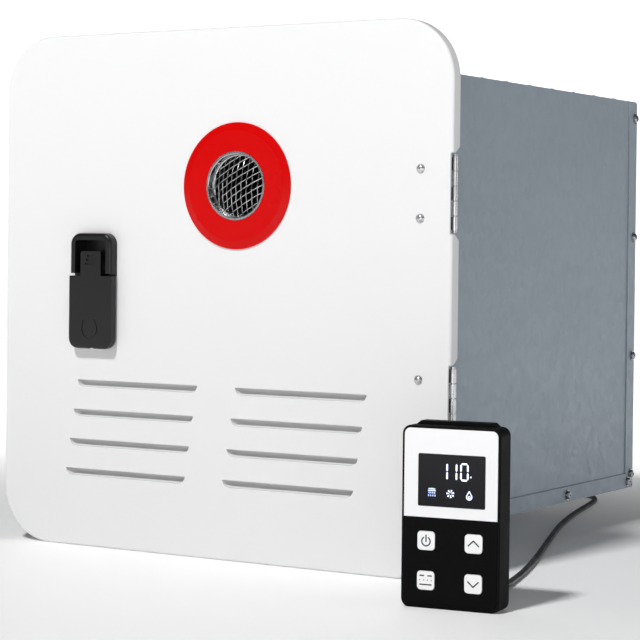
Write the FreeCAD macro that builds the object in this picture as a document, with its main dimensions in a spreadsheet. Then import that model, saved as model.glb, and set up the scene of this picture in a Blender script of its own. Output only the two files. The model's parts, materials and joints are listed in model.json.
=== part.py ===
# Built-in tankless gas water heater with its wired remote control.
# Frame: origin at the centre of the wall screws, in the plane of the wall flange's rear face.
# +X to the right as seen from outside, +Y into the vehicle, +Z up. Millimetres.
import FreeCAD, Part

import math
import os
import re

import Sketcher

Vector = FreeCAD.Vector
Rotation = FreeCAD.Rotation

# ---------------------------------------------------------------- driving dimensions
SIZES = (
    ("door_side", 381.0, "door, both ways"),
    ("door_depth", 10.0, "door, front face to rim"),
    ("rim_gap", 2.0, "door rim to the wall plane"),
    ("door_skin", 1.5, "door sheet"),
    ("door_corner", 42.0, "door corner radius"),
    ("door_edge", 2.0, "rolled front edge radius"),
    ("flange_side", 368.0, "wall flange, both ways"),
    ("flange_corner", 34.0, "wall flange corner radius"),
    ("flange_sheet", 1.5, "wall flange sheet"),
    ("collar_depth", 18.0, "collar that the cabinet slides into"),
    ("wall_screw_reach", 176.0, "wall screws from the centre, across"),
    ("wall_screw_step", 120.0, "wall screws from the centre, along"),
    ("wall_screw_hole", 2.5, "wall screw hole radius"),
    ("cabinet_width", 318.0, "outside of the side panels"),
    ("cabinet_rise", 157.1, "cabinet top above the centre"),
    ("cabinet_drop", 162.6, "cabinet bottom below the centre"),
    ("cabinet_depth", 379.0, "wall plane to the rear panel's outside"),
    ("panel_sheet", 1.0, "galvanised sheet"),
    ("lower_flange", 12.0, "upturned flange of the bottom panel"),
    ("rear_flange", 15.0, "forward flange of the rear panel"),
    ("top_flange", 12.0, "inward flange of a side panel"),
    ("screw_pitch", 120.0, "lower flange screws, apart"),
    ("lower_screw_inset", 11.0, "last lower flange screw from the rear"),
    ("lower_screw_rise", 5.4, "lower flange screws above the cabinet bottom"),
    ("rear_screw_inset", 5.0, "rear flange screws from the rear"),
    ("rear_screw_drop", 14.1, "first rear flange screw below the top"),
    ("rear_screw_pitch", 98.1, "rear flange screws, apart"),
    ("screw_shank", 1.6, "cabinet screw shank radius"),
    ("screw_head", 3.1, "cabinet screw head radius"),
    ("washer", 4.1, "cabinet screw washer radius"),
    ("rivet_pitch", 40.0, "top rivets, apart"),
    ("rivet_first", 64.0, "first top rivet from the wall plane"),
    ("rivet_head", 2.6, "top rivet head radius"),
    ("gasket_reach", 163.5, "gasket inside, from the centre"),
    ("gasket_width", 6.0, "gasket"),
    ("gasket_height", 7.5, "gasket"),
    ("outlet_across", 18.6, "exhaust outlet, right of the centre"),
    ("outlet_rise", 77.2, "exhaust outlet above the centre"),
    ("ring_radius", 45.2, "exhaust ring outside"),
    ("ring_bevel", 39.6, "exhaust ring, inner edge of the bevel"),
    ("ring_height", 2.2, "exhaust ring above the door"),
    ("outlet_bore", 22.7, "exhaust collar and duct bore radius"),
    ("outlet_wall", 1.0, "exhaust collar and duct wall"),
    ("collar_proud", 2.4, "exhaust collar in front of the door"),
    ("collar_lip", 1.0, "exhaust collar's lip, beyond its wall"),
    ("collar_length", 12.0, "exhaust collar"),
    ("mesh_inset", 7.0, "rim of the wire mesh behind the collar's lip"),
    ("mesh_rise", 5.0, "dome of the wire mesh"),
    ("mesh_wire", 0.9, "wire of the mesh"),
    ("mesh_pitch", 4.6, "wires of the mesh, apart"),
    ("louvre_length", 107.7, "louvre top edge"),
    ("louvre_height", 5.5, "louvre, and the radius of its section"),
    ("louvre_pitch", 22.1, "louvre rows, apart"),
    ("louvre_shift", 3.3, "each louvre row further left than the one above"),
    ("louvre_top", 66.4, "first louvre row below the centre"),
    ("louvre_left", -121.5, "left column of louvres"),
    ("louvre_right", 18.8, "right column of louvres"),
    ("latch_across", -104.9, "latch centre line"),
    ("latch_rise", 42.7, "latch bezel top"),
    ("bezel_width", 37.6, "latch bezel"),
    ("bezel_height", 8.0, "latch bezel above the door"),
    ("bezel_foot", 12.9, "lower ends of the bezel's raised sides"),
    ("bezel_corner", 8.5, "bezel corner radius"),
    ("base_plate", 1.7, "latch base plate"),
    ("base_width", 34.6, "latch base plate"),
    ("base_drop", 41.0, "latch base plate below the centre"),
    ("recess_width", 28.0, "finger recess"),
    ("recess_top", 37.5, "finger recess"),
    ("recess_depth", 14.5, "finger recess below the bezel"),
    ("handle_width", 38.9, "latch handle"),
    ("handle_top", 11.1, "latch handle plate"),
    ("handle_drop", 42.9, "latch handle below the centre"),
    ("handle_front", 7.5, "latch handle above the door"),
    ("handle_thick", 5.5, "latch handle"),
    ("handle_corner", 8.0, "latch handle's lower corners"),
    ("tab_width", 18.5, "handle tab"),
    ("tab_top", 29.3, "handle tab"),
    ("tab_thick", 2.5, "handle tab"),
    ("arc_drop", 28.1, "engraved arc below the centre"),
    ("arc_radius", 6.9, "engraved arc"),
    ("arc_line", 1.6, "engraved arc's width"),
    ("arc_depth", 0.4, "engraved arc"),
    ("spindle_drop", 36.0, "latch spindle below the centre"),
    ("spindle_radius", 5.0, "latch spindle"),
    ("latch_pin", 0.9, "latch pin radius"),
    ("cam_length", 60.0, "latch cam"),
    ("cam_width", 14.0, "latch cam"),
    ("cam_thick", 2.5, "latch cam"),
    ("hinge_centre", 71.3, "hinge centres above and below the centre"),
    ("hinge_length", 50.4, "hinge"),
    ("hinge_inset", 1.6, "hinge pin line from the door's edge"),
    ("hinge_back", 6.8, "hinge pin line behind the door's face"),
    ("knuckle_radius", 2.4, "hinge knuckle"),
    ("knuckle_gap", 0.8, "between hinge knuckles"),
    ("hinge_pin", 1.2, "hinge pin radius"),
    ("leaf_sheet", 1.2, "hinge leaf"),
    ("door_leaf", 34.0, "door leaf from the pin line"),
    ("frame_leaf", 16.5, "frame leaf from the pin line"),
    ("frame_web", 6.2, "step of the frame leaf from the pin line"),
    ("notch_margin", 2.2, "door notch above and below a hinge"),
    ("notch_depth", 1.8, "door notch from the door's edge"),
    ("notch_slope", 5.0, "slanting ends of a door notch"),
    ("hinge_screw_inset", 22.7, "hinge screws from the pin line"),
    ("hinge_screw_half", 16.8, "hinge screws above and below a hinge's centre"),
    ("hinge_screw", 1.5, "hinge screw shank radius"),
    ("hinge_screw_head", 3.3, "hinge screw head radius"),
    ("running", 0.05, "radial clearance of a turning fit"),
    ("seat_gap", 0.3, "gap between pieces that move apart"),
    ("chamber_width", 170.0, "burner box and heat exchanger"),
    ("chamber_front", 80.0, "burner box and heat exchanger from the wall plane"),
    ("chamber_depth", 170.0, "burner box and heat exchanger"),
    ("chamber_sheet", 1.2, "burner box and heat exchanger"),
    ("burner_low", 105.0, "burner box bottom below the centre"),
    ("burner_high", 35.0, "burner box top below the centre"),
    ("exchanger_high", 35.0, "heat exchanger top above the centre"),
    ("burner_pitch", 22.0, "burner bars, apart"),
    ("burner_width", 14.0, "burner bar"),
    ("burner_height", 40.0, "burner bar"),
    ("tube_radius", 7.0, "water tube"),
    ("tube_wall", 1.0, "water tube"),
    ("tube_pitch", 30.0, "water tubes, apart"),
    ("fin_pitch", 7.4, "heat exchanger fins, apart"),
    ("fin_sheet", 0.6, "heat exchanger fin"),
    ("hood_high", 51.5, "flue hood top above the centre"),
    ("fan_across", -30.0, "fan shaft, right of the centre"),
    ("fan_back", 165.0, "fan shaft from the wall plane"),
    ("fan_radius", 48.0, "fan wheel"),
    ("scroll_radius", 58.0, "fan housing"),
    ("housing_height", 52.0, "fan housing"),
    ("housing_front", 62.0, "fan housing outlet from the wall plane"),
    ("housing_sheet", 1.5, "fan housing"),
    ("motor_radius", 32.0, "fan motor"),
    ("motor_height", 38.0, "fan motor"),
    ("shaft_radius", 3.0, "fan shaft"),
    ("valve_across", 116.0, "gas valve centre line"),
    ("gas_drop", 100.0, "gas line below the centre"),
    ("gas_pipe_radius", 6.4, "gas pipe"),
    ("gas_thread", 7.94, "gas inlet flare fitting, outside radius"),
    ("water_thread", 10.65, "water fittings, outside thread radius"),
    ("fitting_reach", 20.0, "fittings behind the rear panel"),
    ("fitting_shank", 0.8, "fittings' plain shank, wider than the thread by"),
    ("inlet_across", -60.0, "water inlet"),
    ("inlet_drop", 110.0, "water inlet below the centre"),
    ("outlet_pipe_across", 40.0, "water outlet"),
    ("outlet_pipe_drop", 60.0, "water outlet below the centre"),
    ("control_width", 65.2, "remote control"),
    ("control_height", 114.3, "remote control"),
    ("control_thick", 18.7, "remote control, front panel to back"),
    ("control_corner", 5.5, "remote control corner radius"),
    ("control_wall", 2.2, "remote control walls"),
    ("control_left", 205.3, "remote control's front left foot, across"),
    ("control_front", -105.3, "remote control's front left foot, depth"),
    ("control_yaw", 6.7, "remote control's turn, degrees"),
    ("panel_rim", 1.6, "shell rim beside the control's front panel"),
    ("panel_foot", 2.5, "front panel above the control's foot"),
    ("panel_thick", 1.6, "front panel of the control"),
    ("window_width", 44.6, "display window"),
    ("window_height", 33.0, "display window"),
    ("window_left", 11.0, "display window"),
    ("window_foot", 64.0, "display window"),
    ("key_width", 11.6, "key"),
    ("key_height", 11.8, "key"),
    ("key_corner", 2.4, "key"),
    ("key_proud", 0.35, "key above the front panel"),
    ("key_gap", 0.25, "around a key"),
    ("key_left", 16.9, "left keys' centre"),
    ("key_right", 48.3, "right keys' centre"),
    ("key_upper", 42.4, "upper keys' centre"),
    ("key_lower", 17.5, "lower keys' centre"),
    ("control_split", 9.0, "front panel to the joint between the control's two halves"),
    ("tab_left", 5.8, "raised tab on the control's rear half"),
    ("tab_length", 53.1, "raised tab on the control's rear half"),
    ("tab_rise", 2.4, "raised tab on the control's rear half"),
    ("tab_front", 9.8, "front panel to the raised tab"),
    ("plate_hole", 2.0, "screw hole radius in the control's back"),
    ("plate_hole_pitch", 60.0, "screw holes in the control's back, apart"),
    ("cord_radius", 2.25, "control cable"),
    ("boot_rise", 12.0, "cable exit above the control's foot"),
    ("boot_across", 36.0, "cable exit from the control's left side"),
    ("boot_length", 15.5, "cable boot"),
    ("gland_across", -30.6, "cable gland on the rear panel"),
    ("gland_drop", 150.0, "cable gland below the centre"),
    ("gland_length", 20.0, "cable gland behind the rear panel"),
    ("coil_across", 0.0, "cable coil, centre"),
    ("coil_back", 96.0, "cable coil, centre behind the rear panel"),
    ("coil_mean", 26.0, "cable coil, mean radius"),
)

doc = FreeCAD.newDocument("water_heater")
sizes = doc.addObject("Spreadsheet::Sheet", "Sizes")
for row, (alias, amount, meaning) in enumerate(SIZES, 1):
    sizes.set("A%d" % row, alias)
    sizes.set("B%d" % row, str(amount))
    sizes.setAlias("B%d" % row, alias)
    sizes.set("C%d" % row, meaning)
doc.recompute()

ALIASES = re.compile(r"\b(%s)\b" % "|".join(alias for alias, amount, meaning in SIZES))
FRONTAL = Rotation(Vector(1, 0, 0), 90)  # outline in X and Z, thickness towards -Y
SIDEWAYS = Rotation(Vector(1, 1, 1), 120)  # outline in Y and Z, thickness towards +X
LEVEL = Rotation()  # outline in X and Y, thickness towards +Z
UPRIGHT = FRONTAL  # a turned piece's own axis, local Y, stands along Z
OUTWARD = Rotation(Vector(1, 0, 0), 180)  # a turned piece's own axis points along -Y
RIGHTWARD = Rotation(Vector(0, 0, 1), -90)  # a turned piece's own axis points along +X
ACROSS = Rotation(Vector(0, 1, 0), 90)  # a rod along +X
LEFTWARD = Rotation(Vector(0, 0, 1), 90)  # a turned piece's own axis points along -X
nodes = []


# ---------------------------------------------------------------- ways of making a piece
def amount_of(formula):
    return float(sizes.evalExpression(formula))


def bind(thing, prop, formula):
    thing.setExpression(prop, ALIASES.sub(r"Sizes.\1", formula))


def settle(thing, place, rotation=LEVEL):
    thing.Placement = FreeCAD.Placement(Vector(), rotation)
    for letter, formula in zip("xyz", place):
        bind(thing, "Placement.Base." + letter, formula)
    return thing


def block(name, across, along, up):
    box = doc.addObject("Part::Box", name)
    spans = (("Length", across), ("Width", along), ("Height", up))
    for prop, (low, high) in spans:
        bind(box, prop, "(%s) - (%s)" % (high, low))
    return settle(box, (across[0], along[0], up[0]))


def rod(name, centre, radius, length, rotation=LEVEL):
    cylinder = doc.addObject("Part::Cylinder", name)
    bind(cylinder, "Radius", radius)
    bind(cylinder, "Height", length)
    return settle(cylinder, centre, rotation)


def fuse(name, pieces):
    joined = doc.addObject("Part::MultiFuse", name)
    joined.Shapes = pieces
    joined.Refine = True
    return joined


def cut(name, base, tools):
    carved = doc.addObject("Part::Cut", name)
    carved.Base = base
    carved.Tool = tools[0] if len(tools) == 1 else fuse(name + "_tools", tools)
    carved.Refine = True
    return carved


def common(name, one, other):
    shared = doc.addObject("Part::Common", name)
    shared.Base = one
    shared.Tool = other
    return shared


def group(name, pieces):
    kept = doc.addObject("Part::Compound", name)
    kept.Links = pieces
    return kept


def outline(sketch, points):
    places = [(amount_of(across), amount_of(up)) for across, up in points]
    count = len(points)
    for k in range(count):
        start = Vector(*places[k], 0)
        end = Vector(*places[(k + 1) % count], 0)
        sketch.addGeometry(Part.LineSegment(start, end), False)
    for k in range(count):
        sketch.addConstraint(Sketcher.Constraint("Coincident", k, 2, (k + 1) % count, 1))
    for k in range(count):
        hold_corner(sketch, k, "DistanceX", -2, points[k][0], places[k][0])
        hold_corner(sketch, k, "DistanceY", -1, points[k][1], places[k][1])


def hold_corner(sketch, line, kind, axis, formula, amount):
    if abs(amount) < 1e-9:
        sketch.addConstraint(Sketcher.Constraint("PointOnObject", line, 1, axis))
        return
    number = sketch.addConstraint(Sketcher.Constraint(kind, -1, 1, line, 1, amount))
    bind(sketch, "Constraints[%d]" % number, formula)


def sketched_body(name, points):
    body = doc.addObject("PartDesign::Body", name)
    sketch = body.newObject("Sketcher::SketchObject", name + "_outline")
    plane = [item for item in body.Origin.OriginFeatures if item.Role == "XY_Plane"][0]
    sketch.AttachmentSupport = [(plane, "")]
    sketch.MapMode = "FlatFace"
    outline(sketch, points)
    return body, sketch


def padded(name, points, thickness, place, rotation):
    body, sketch = sketched_body(name, points)
    pad = body.newObject("PartDesign::Pad", name + "_pad")
    pad.Profile = sketch
    bind(pad, "Length", thickness)
    return settle(body, place, rotation)


def turned(name, points, place, rotation=LEVEL):
    body, sketch = sketched_body(name, points)
    spin = body.newObject("PartDesign::Revolution", name + "_turning")
    spin.Profile = sketch
    spin.ReferenceAxis = (sketch, ["V_Axis"])
    spin.Angle = 360
    return settle(body, place, rotation)


def round_edges(body, radius, chosen):
    doc.recompute()
    base = body.Tip
    names = ["Edge%d" % k for k, edge in enumerate(base.Shape.Edges, 1) if chosen(edge, base)]
    fillet = body.newObject("PartDesign::Fillet", "%s_round_%d" % (body.Name, len(body.Group)))
    fillet.Base = (base, names)
    bind(fillet, "Radius", radius)
    body.Tip = fillet
    return body


def upright_edge(edge, base):
    low, high = edge.BoundBox.ZMin, edge.BoundBox.ZMax
    length = high - low
    straight = edge.BoundBox.DiagonalLength - length < 0.01
    return straight and length > base.Shape.BoundBox.ZLength - 0.01


def outer_edge(edge, base):
    return edge.BoundBox.ZMin > base.Shape.BoundBox.ZMax - 0.01


def slab(name, across, up, front, back, corner, edge=None):
    """A rounded plate that faces -Y, from back to front."""
    points = [(across[0], up[0]), (across[1], up[0]), (across[1], up[1]), (across[0], up[1])]
    body = padded(name, points, "(%s) - (%s)" % (back, front), ("0", back, "0"), FRONTAL)
    round_edges(body, corner, upright_edge)
    if edge:
        round_edges(body, edge, outer_edge)
    return body


def keep(label, piece):
    piece.Label = label
    nodes.append(piece)
    return piece


def keep_on_control(label, piece):
    """Keeps a piece made in the remote control's own frame, set where the control stands."""
    doc.recompute()
    local = piece.Placement
    for letter in "xyz":
        piece.setExpression("Placement.Base." + letter, None)
    piece.Placement = control_placement().multiply(local)
    return keep(label, piece)


def shaped(name, shape):
    feature = doc.addObject("Part::Feature", name)
    feature.Shape = shape
    return feature


def mirrored(span, side):
    if side > 0:
        return span
    return ("-(%s)" % span[1], "-(%s)" % span[0])


def signed(formula, side):
    return formula if side > 0 else "-(%s)" % formula


def cap(name, radius, latitude, place, rotation):
    """The part of a ball above a latitude, as a domed screw head."""
    ball = doc.addObject("Part::Sphere", name)
    bind(ball, "Radius", "(%s) / cos(%s)" % (radius, latitude))
    bind(ball, "Angle1", latitude)
    return settle(ball, place, rotation)


def route_wire(points, radius_at):
    """Straight runs through the points, joined by tangent arcs."""
    edges = []
    start = points[0]
    for k in range(1, len(points) - 1):
        before = (points[k] - points[k - 1]).normalize()
        after = (points[k + 1] - points[k]).normalize()
        turn = before.getAngle(after)
        radius = radius_at(k, turn)
        reach = radius * math.tan(turn / 2)
        first = points[k] - before * reach
        last = points[k] + after * reach
        middle = (after - before).normalize()
        centre = points[k] + middle * (radius / math.cos(turn / 2))
        edges.append(Part.makeLine(start, first))
        edges.append(Part.Arc(first, centre - middle * radius, last).toShape())
        start = last
    edges.append(Part.makeLine(start, points[-1]))
    return Part.Wire(edges)


def pipe_along(wire, radius):
    start = wire.Edges[0].Vertexes[0].Point
    heading = wire.Edges[0].Vertexes[1].Point - start
    section = Part.Wire(Part.makeCircle(radius, start, heading))
    return wire.makePipeShell([section], True, False)


def bent_tube(name, points, bend):
    """A hollow water tube with bends of one radius."""
    wire = route_wire([Vector(*map(amount_of, point)) for point in points], lambda k, turn: bend)
    outside = pipe_along(wire, amount_of("tube_radius"))
    inside = pipe_along(wire, amount_of("tube_radius - tube_wall"))
    return shaped(name, outside.cut(inside))


# ---------------------------------------------------------------- shared places
FACE = "-(rim_gap + door_depth)"  # the door's front face
INSIDE = "-(rim_gap + door_depth) + door_skin"  # the door's inner face
FLANGE = "-flange_sheet"  # the wall flange's front face
HALF = "cabinet_width / 2"
LID = "cabinet_rise"
FLOOR = "-cabinet_drop"
REAR = "cabinet_depth"
GROUND = "-door_side / 2"  # what the door's lower edge stands on
PIN_ACROSS = "door_side / 2 - hinge_inset"
PIN_BACK = FACE + " + hinge_back"


# ---------------------------------------------------------------- cabinet
def lower_screw_places():
    return ["cabinet_depth - lower_screw_inset - %d * screw_pitch" % k for k in range(3)]


def rear_screw_places():
    return ["cabinet_rise - rear_screw_drop - %d * rear_screw_pitch" % k for k in range(4)]


def side_holes(name, side, radius):
    """The screw holes through a side panel and the flanges outside it."""
    start = HALF + " - 3" if side > 0 else "-(%s) - 3" % HALF
    holes = []
    for k, along in enumerate(lower_screw_places()):
        place = (start, along, "lower_screw_rise - cabinet_drop")
        holes.append(rod("%s_lower_%d" % (name, k), place, radius, "6", ACROSS))
    for k, up in enumerate(rear_screw_places()):
        place = (start, "cabinet_depth - rear_screw_inset", up)
        holes.append(rod("%s_rear_%d" % (name, k), place, radius, "6", ACROSS))
    return holes


def side_panel(label, side):
    sheet = block(
        label + "_sheet",
        mirrored((HALF + " - panel_sheet", HALF), side),
        ("0", REAR + " - panel_sheet"),
        (FLOOR + " + panel_sheet", LID + " - panel_sheet"),
    )
    ledge = block(
        label + "_ledge",
        mirrored((HALF + " - top_flange", HALF), side),
        ("collar_depth", REAR + " - rear_flange"),
        (LID + " - 2 * panel_sheet", LID + " - panel_sheet"),
    )
    holes = side_holes(label, side, "screw_shank")
    for place in rivet_places("3", (side,)):
        holes.append(rod(label + "_rivet_hole", place, "rivet_head / 2", "4"))
    keep(label, cut(label, fuse(label + "_folded", [sheet, ledge]), holes))


def bottom_panel():
    floor = block("floor_sheet", ("-" + HALF, HALF), ("0", REAR), (FLOOR, FLOOR + " + panel_sheet"))
    flanges = []
    holes = []
    slope = [
        ("0", FLOOR),
        (REAR, FLOOR),
        (REAR + " - rear_flange + 1", FLOOR + " + lower_flange"),
        ("0", FLOOR + " + lower_flange"),
    ]
    for name, side in (("floor_right", 1), ("floor_left", -1)):
        start = HALF if side > 0 else "-(%s) - panel_sheet" % HALF
        flanges.append(padded(name, slope, "panel_sheet", (start, "0", "0"), SIDEWAYS))
        holes.extend(side_holes(name, side, "screw_shank"))
    keep("bottom_panel", cut("bottom_panel", fuse("floor_folded", [floor] + flanges), holes))


def top_panel():
    sheet = block("top_sheet", ("-" + HALF, HALF), ("0", REAR), (LID + " - panel_sheet", LID))
    holes = [rod("top_hole", place, "rivet_head / 2", "4") for place in rivet_places("3")]
    keep("top_panel", cut("top_panel", sheet, holes))


def rivet_places(sunk, sides=(1, -1)):
    places = []
    for side in sides:
        for k in range(8):
            across = signed("cabinet_width / 2 - top_flange / 2", side)
            places.append((across, "rivet_first + %d * rivet_pitch" % k, "cabinet_rise - %s" % sunk))
    return places


def rear_panel():
    sheet = block(
        "rear_sheet",
        ("-(%s) - panel_sheet" % HALF, HALF + " + panel_sheet"),
        (REAR + " - panel_sheet", REAR),
        (FLOOR + " + panel_sheet", LID + " - panel_sheet"),
    )
    slope = [
        (REAR, FLOOR + " + panel_sheet"),
        (REAR, LID + " - panel_sheet"),
        (REAR + " - rear_flange", LID + " - panel_sheet"),
        (REAR + " - rear_flange", FLOOR + " + lower_flange + panel_sheet"),
    ]
    flanges = []
    holes = []
    for name, side in (("back_right", 1), ("back_left", -1)):
        start = HALF if side > 0 else "-(%s) - panel_sheet" % HALF
        flanges.append(padded(name, slope, "panel_sheet", (start, "0", "0"), SIDEWAYS))
        holes.extend(side_holes(name, side, "screw_shank"))
    for name, across, up, radius in (
        ("inlet_hole", "inlet_across", "-inlet_drop", "water_thread + fitting_shank + running"),
        ("outlet_hole", "outlet_pipe_across", "-outlet_pipe_drop", "water_thread + fitting_shank + running"),
        ("gas_hole", "valve_across", "-gas_drop", "gas_thread + fitting_shank + running"),
        ("cable_hole", "gland_across", "-gland_drop", "cord_radius + 2 + running"),
    ):
        holes.append(rod(name, (across, REAR + " + 1", up), radius, "3", FRONTAL))
    keep("rear_panel", cut("rear_panel", fuse("rear_folded", [sheet] + flanges), holes))


def cabinet_screws():
    """Pan heads on washers, with a shank into the side panel."""
    pieces = []
    outer = HALF + " + panel_sheet"
    for side in (1, -1):
        turn = RIGHTWARD if side > 0 else LEFTWARD
        places = [(along, "lower_screw_rise - cabinet_drop") for along in lower_screw_places()]
        places += [("cabinet_depth - rear_screw_inset", up) for up in rear_screw_places()]
        for along, up in places:
            points = [
                ("0", "0"),
                ("screw_shank - running", "0"),
                ("screw_shank - running", "6"),
                ("washer", "6"),
                ("washer", "6.8"),
                ("screw_head", "6.8"),
                ("screw_head", "7.8"),
                ("screw_head * 0.7", "8.6"),
                ("0", "8.8"),
            ]
            start = signed("(%s) - 6" % outer, side)
            body = turned("cabinet_screw", points, (start, along, up), turn)
            span = mirrored(("(%s) + 1.3" % outer, "(%s) + 4" % outer), side)
            cross = [
                block("screw_recess", span, centred(along, arm[0]), centred(up, arm[1]))
                for arm in (("0.7", "screw_head"), ("screw_head", "0.7"))
            ]
            pieces.append(cut("cabinet_screw_cut", body, cross))
    keep("cabinet_screws", group("cabinet_screws", pieces))


def top_rivets():
    pieces = []
    for place in rivet_places("3"):
        points = [
            ("0", "0"),
            ("rivet_head / 2 - running", "0"),
            ("rivet_head / 2 - running", "3"),
            ("rivet_head", "3"),
            ("rivet_head * 0.8", "4"),
            ("0", "4.4"),
        ]
        pieces.append(turned("top_rivet", points, place, UPRIGHT))
    keep("top_rivets", group("top_rivets", pieces))


# ---------------------------------------------------------------- front frame and gasket
def front_frame():
    reach = "flange_side / 2"
    plate = slab("frame_plate", ("-" + reach, reach), ("-" + reach, reach), FLANGE, "0", "flange_corner")
    opening = (
        ("-(%s) - panel_sheet" % HALF, HALF + " + panel_sheet"),
        ("-20", "collar_depth + 20"),
        (FLOOR, LID),
    )
    collar = block(
        "frame_collar",
        ("-(%s) - panel_sheet - flange_sheet" % HALF, HALF + " + panel_sheet + flange_sheet"),
        (FLANGE, "collar_depth"),
        (FLOOR + " - flange_sheet", LID + " + flange_sheet"),
    )
    holes = [block("frame_opening", *opening)]
    for across, up in wall_screw_places():
        holes.append(rod("wall_screw_hole", (across, "1", up), "wall_screw_hole", "4", FRONTAL))
    keep("front_frame", cut("front_frame", fuse("frame_drawn", [plate, collar]), holes))


def wall_screw_places():
    places = []
    for one in (1, -1):
        for other in (1, -1):
            places.append((signed("wall_screw_reach", one), signed("wall_screw_step", other)))
            places.append((signed("wall_screw_step", one), signed("wall_screw_reach", other)))
    return places


def door_gasket():
    front = FLANGE + " - gasket_height"
    reach = "gasket_reach + gasket_width"
    outside = slab("gasket_outside", ("-(%s)" % reach, reach), ("-(%s)" % reach, reach), front, FLANGE, "20")
    inside = slab(
        "gasket_inside",
        ("-gasket_reach", "gasket_reach"),
        ("-gasket_reach", "gasket_reach"),
        front + " - 1",
        FLANGE + " + 1",
        "20 - gasket_width",
    )
    keep("door_gasket", cut("door_gasket", outside, [inside]))


# ---------------------------------------------------------------- door
def door_panel():
    reach = "door_side / 2"
    rim = "-rim_gap"
    span = ("-" + reach, reach)
    skin = slab("door_outside", span, span, FACE, rim, "door_corner", "door_edge")
    inner = "door_side / 2 - door_skin"
    hollow = slab(
        "door_hollow",
        ("-(%s)" % inner, inner),
        ("-(%s)" % inner, inner),
        INSIDE,
        rim + " + 1",
        "door_corner - door_skin",
        "door_edge - door_skin",
    )
    scoops = []
    hollows = []
    for row in range(4):
        for column, left in (("left", "louvre_left"), ("right", "louvre_right")):
            name = "louvre_%s_%d" % (column, row)
            place = (
                "%s - %d * louvre_shift" % (left, row),
                FACE,
                "-louvre_top - %d * louvre_pitch" % row,
            )
            scoops.append(louvre(name + "_scoop", place, "louvre_height + door_skin", FACE + " + 0.2"))
            hollows.append(louvre(name + "_hollow", place, "louvre_height", FACE + " - 1"))
    tray = cut("door_tray", skin, [hollow])
    holes = hollows + hinge_notches() + [
        rod(
            "outlet_hole_door",
            outlet_place(FACE + " + 5"),
            "outlet_bore + outlet_wall + running",
            "10",
            FRONTAL,
        ),
        slab(
            "latch_recess_hole",
            recess_span("1.6"),
            ("handle_top - 1.6", "recess_top + 1.6"),
            FACE + " - 1",
            INSIDE + " + 1",
            "3",
        ),
        rod(
            "latch_spindle_hole",
            ("latch_across", INSIDE + " + 1", "-spindle_drop"),
            "spindle_radius + seat_gap",
            "4",
            FRONTAL,
        ),
    ]
    for across, up in hinge_screw_places():
        place = (across, INSIDE + " + 1", up)
        holes.append(rod("hinge_screw_hole", place, "hinge_screw + running", "4", FRONTAL))
    keep("door_panel", cut("door_panel", fuse("door_louvred", [tray] + scoops), holes))


def louvre(name, place, radius, front):
    """A quarter-round trough between quarter balls, open along its straight upper edge."""
    across, along, up = place
    near = (across + " + louvre_height", along, up)
    far = (across + " + louvre_length - louvre_height", along, up)
    pieces = [rod(name + "_trough", near, radius, "louvre_length - 2 * louvre_height", ACROSS)]
    for centre in (near, far):
        ball = doc.addObject("Part::Sphere", name + "_end")
        bind(ball, "Radius", radius)
        pieces.append(settle(ball, centre))
    room = block(
        name + "_room",
        (across + " - louvre_height", across + " + louvre_length + louvre_height"),
        (front, along + " + 2 * louvre_height"),
        (up + " - 2 * louvre_height", up),
    )
    return common(name, fuse(name + "_round", pieces), room)


def hinge_notches():
    """Openings in the door's edge and rim, with a slanting end through the rim."""
    half = "hinge_length / 2 + notch_margin"
    edge = "door_side / 2"
    cuts = []
    for side in (1, -1):
        centre = signed("hinge_centre", side)
        low = "%s - (%s)" % (centre, half)
        high = "%s + %s" % (centre, half)
        cuts.append(
            block(
                "hinge_notch",
                (edge + " - notch_depth", edge + " + 1"),
                (FACE + " - 1", "-rim_gap + 1"),
                (low, high),
            )
        )
        slope = [
            (FACE + " + 4", low),
            ("-rim_gap + 1", low + " - notch_slope"),
            ("-rim_gap + 1", high + " + notch_slope"),
            (FACE + " + 4", high),
        ]
        start = (edge + " - notch_depth", "0", "0")
        cuts.append(padded("rim_notch", slope, "notch_depth + 1", start, SIDEWAYS))
    return cuts


def hinge_screw_places():
    places = []
    for side in (1, -1):
        for other in (1, -1):
            up = "%s + %s" % (signed("hinge_centre", side), signed("hinge_screw_half", other))
            places.append((PIN_ACROSS + " - hinge_screw_inset", up))
    return places


def outlet_place(back):
    return ("outlet_across", back, "outlet_rise")


def exhaust_ring():
    bore = "outlet_bore + outlet_wall + collar_lip + running"
    points = [
        (bore, "0"),
        ("ring_radius", "0"),
        ("ring_radius", "ring_height * 0.4"),
        ("ring_bevel", "ring_height"),
        (bore, "ring_height"),
    ]
    keep("exhaust_ring", turned("exhaust_ring", points, outlet_place(FACE), OUTWARD))


def exhaust_collar():
    """A steel tube through the door, flanged against its inner face and lipped in front."""
    wall = "outlet_bore + outlet_wall"
    seat = "collar_length - door_skin - collar_proud - 1"
    points = [
        ("outlet_bore", "0"),
        (wall, "0"),
        (wall, seat),
        (wall + " + 5", seat),
        (wall + " + 5", seat + " + 1"),
        (wall, seat + " + 1"),
        (wall, "collar_length - 0.8"),
        (wall + " + collar_lip", "collar_length - 0.6"),
        (wall + " + 0.8 * collar_lip", "collar_length"),
        ("outlet_bore + 0.4", "collar_length"),
        ("outlet_bore", "collar_length - 0.4"),
    ]
    back = FACE + " - collar_proud + collar_length"
    keep("exhaust_collar", turned("exhaust_collar", points, outlet_place(back), OUTWARD))


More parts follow.
